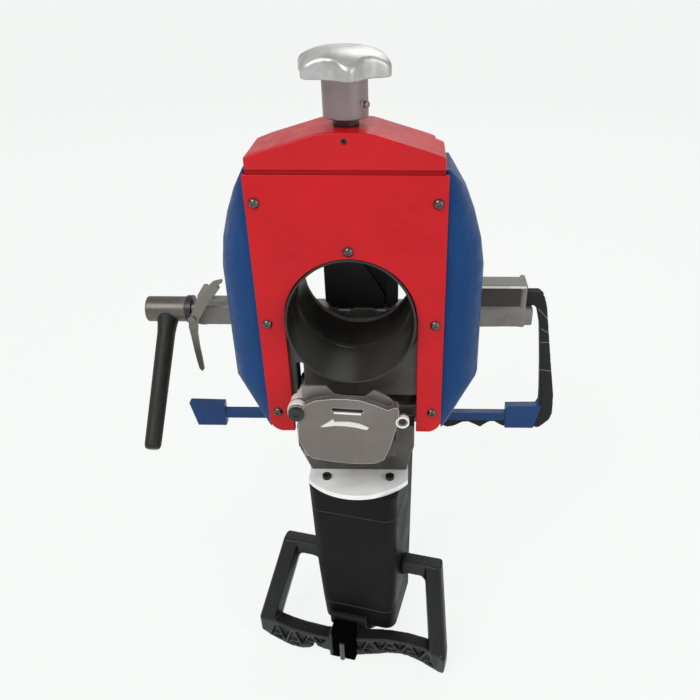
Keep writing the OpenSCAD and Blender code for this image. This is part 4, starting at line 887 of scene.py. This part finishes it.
class CUTTER_OT_motor(bpy.types.Operator):
    """Makes the motor's body, its foot and seams, and its handle frame"""
    bl_idname = "cutter.motor"
    bl_label = "Motor"

    # Place of the motor's axis behind the red plate, and the body's turn about it in degrees
    axis_y = 38.0
    clock = -13.0
    # Fall over which the body narrows, and by how much at its left and elsewhere, in millimetres
    fall, left_taper, taper = 187.0, 5.5, 3.0
    # Height, left, right, depth and corner of each ring in millimetres
    body_rings = ((-211.0, -47.5, 52.5, 48.0, 13.0), (-212.5, -48.5, 53.5, 49.0, 14.0),
        (-339.0, -46.0, 51.5, 47.0, 14.0), (-397.5, -43.0, 50.5, 46.0, 14.0),
        (-399.2, -42.0, 49.5, 45.0, 13.0))
    foot_rings = ((-399.2, -41.0, 48.5, 44.0, 13.0), (-400.0, -42.6, 50.1, 45.6, 13.0),
        (-431.0, -41.0, 50.5, 44.0, 13.0), (-434.0, -38.5, 48.0, 42.0, 12.0))
    ledge_rings = ((-417.0, -30.0, 15.0, 47.0, 3.0), (-418.0, -31.0, 16.0, 50.0, 3.0),
        (-433.0, -31.0, 16.0, 50.0, 3.0))

    def execute(self, context):
        for name, rings, finish, replaces in (
                ("motor_body", self.body_rings, "plastic", ("motor_housing",)),
                ("motor_foot", self.foot_rings, "plastic", ("motor_end_cap",)),
                ("foot_ledge", self.ledge_rings, "rubber", ()),
                ("motor_seam", self.seam_rings(-244.0, 0.25), "seam", ()),
                ("foot_seam", self.seam_rings(-399.6, 0.0), "seam", ())):
            bm = bmesh.new()
            loft(bm, [self.ring(*row) for row in rings])
            settle(context, bm, name, finish, "saw_head", 25.0, replaces)
        poured(context, "handle_frame", cell=0.0011, passes=7)
        return {"FINISHED"}

    def seam_rings(self, height, proud, thick=0.7, deep=2.0):
        """Rings of a thin band that follows the body's taper and stands proud of it."""
        top, left, right, depth, corner = self.body_rings[1]
        low = (top - height) / self.fall
        left += self.left_taper * low - proud
        right -= self.taper * low - proud
        depth -= self.taper * low - proud
        outer = (left, right, depth, corner + 0.2)
        inner = (left + deep, right - deep, depth - deep, corner - 1.0)
        return ((height, *inner), (height, *outer), (height - thick, *outer), (height - thick, *inner))

    def ring(self, height, left, right, depth, corner):
        """Rounded oblong about the motor's axis, turned as the motor is clocked."""
        clock = math.radians(self.clock)
        points = []
        for i in range(48):
            turn = (i + 0.5) * math.tau / 48
            along = (right - corner if math.cos(turn) > 0 else left + corner) + corner * math.cos(turn)
            across = (depth - corner if math.sin(turn) > 0 else corner - depth) + corner * math.sin(turn)
            points.append(at(along * math.cos(clock) - across * math.sin(clock),
                self.axis_y + along * math.sin(clock) + across * math.cos(clock), height))
        return points


class CUTTER_OT_stage(bpy.types.Operator):
    """Lays the floor and sets the lights and the camera"""
    bl_idname = "cutter.stage"
    bl_label = "Stage"

    # Half the floor's size, how far back its middle lies and its gap below the machine, in metres
    floor_half = 30.0
    floor_back = 10.0
    floor_gap = 0.0005
    floor_lift = 0.88
    room_light = 0.55
    # Place and size of each lamp in metres, and its power in watts
    lamps = (("key", (-0.9, -1.5, 2.0), 1.3, 26.0), ("fill", (1.5, -1.2, 0.9), 1.4, 9.0),
        ("back", (0.3, 1.6, 1.7), 1.2, 9.0))
    # Point in the machine that the lamps face, in metres
    lamp_aim = (0.0, -0.15, 0.15)
    # Camera's place in millimetres from the pipe axis, its dip and turn in degrees
    camera_place = (55.6, -580.7, 321.0)
    camera_dip = 31.3
    camera_turn = 0.9
    # Pixels by which the picture is shifted, and its width in pixels
    shift_pixels = -50.0
    picture_pixels = 700.0

    def execute(self, context):
        look = context.scene.cutter_look
        bm = bmesh.new()
        bmesh.ops.create_grid(bm, x_segments=1, y_segments=1, size=self.floor_half)
        bmesh.ops.translate(bm, vec=(0, self.floor_back, cad_box[0][2] - self.floor_gap), verts=bm.verts)
        mesh = bpy.data.meshes.new("floor")
        bm.to_mesh(mesh)
        bm.free()
        floor = bpy.data.objects.new("floor", mesh)
        context.scene.collection.objects.link(floor)
        mesh.materials.append(floor_shade(tuple(look.glow), tuple(look.floor), self.floor_lift))

        world = bpy.data.worlds.new("soft_room")
        context.scene.world = world
        room_shade(world, tuple(look.glow), self.room_light)
        for name, place, size, power in self.lamps:
            self.lamp(context, name, place, size, power)

        data = bpy.data.cameras.new("camera")
        data.sensor_width = 36.0
        data.lens = look.lens
        data.shift_x = self.shift_pixels / self.picture_pixels
        data.clip_end = 100.0
        camera = bpy.data.objects.new("camera", data)
        context.scene.collection.objects.link(camera)
        camera.location = at(*self.camera_place)
        camera.rotation_euler = (math.radians(90.0 - self.camera_dip), 0.0, math.radians(self.camera_turn))
        context.scene.camera = camera
        context.scene.view_settings.view_transform = "Standard"
        return {"FINISHED"}

    def lamp(self, context, name, place, size, power):
        """Hangs a round soft lamp that points at the machine."""
        data = bpy.data.lights.new(name, "AREA")
        data.shape = "DISK"
        data.size = size
        data.energy = power
        lamp = bpy.data.objects.new(name, data)
        context.scene.collection.objects.link(lamp)
        lamp.location = place
        aim = Vector(self.lamp_aim) - lamp.location
        lamp.rotation_euler = aim.to_track_quat("-Z", "Y").to_euler()


class CUTTER_PT_panel(bpy.types.Panel):
    """Lists the machine's pieces and the stage"""
    bl_idname = "CUTTER_PT_panel"
    bl_label = "Pipe Cutter"
    bl_space_type = "VIEW_3D"
    bl_region_type = "UI"
    bl_category = "Pipe Cutter"

    def draw(self, context):
        look = context.scene.cutter_look
        for name in look.bl_rna.properties.keys():
            if name not in ("rna_type", "name"):
                self.layout.prop(look, name)
        for op in STEPS:
            self.layout.operator(op.bl_idname)


STEPS = (CUTTER_OT_finishes, CUTTER_OT_red_cover, CUTTER_OT_rotor, CUTTER_OT_feed, CUTTER_OT_vise,
    CUTTER_OT_clamp, CUTTER_OT_carry_handle, CUTTER_OT_saw_head, CUTTER_OT_motor, CUTTER_OT_stage)
CLASSES = (CutterLook,) + STEPS + (CUTTER_PT_panel,)


def register():
    for c in CLASSES:
        bpy.utils.register_class(c)
    bpy.types.Scene.cutter_look = bpy.props.PointerProperty(type=CutterLook)


def unregister():
    del bpy.types.Scene.cutter_look
    for c in reversed(CLASSES):
        bpy.utils.unregister_class(c)


def main():
    """Makes every piece and the stage."""
    register()
    for op in STEPS:
        group, name = op.bl_idname.split(".")
        getattr(getattr(bpy.ops, group), name)()


if __name__ == "__main__":
    main()
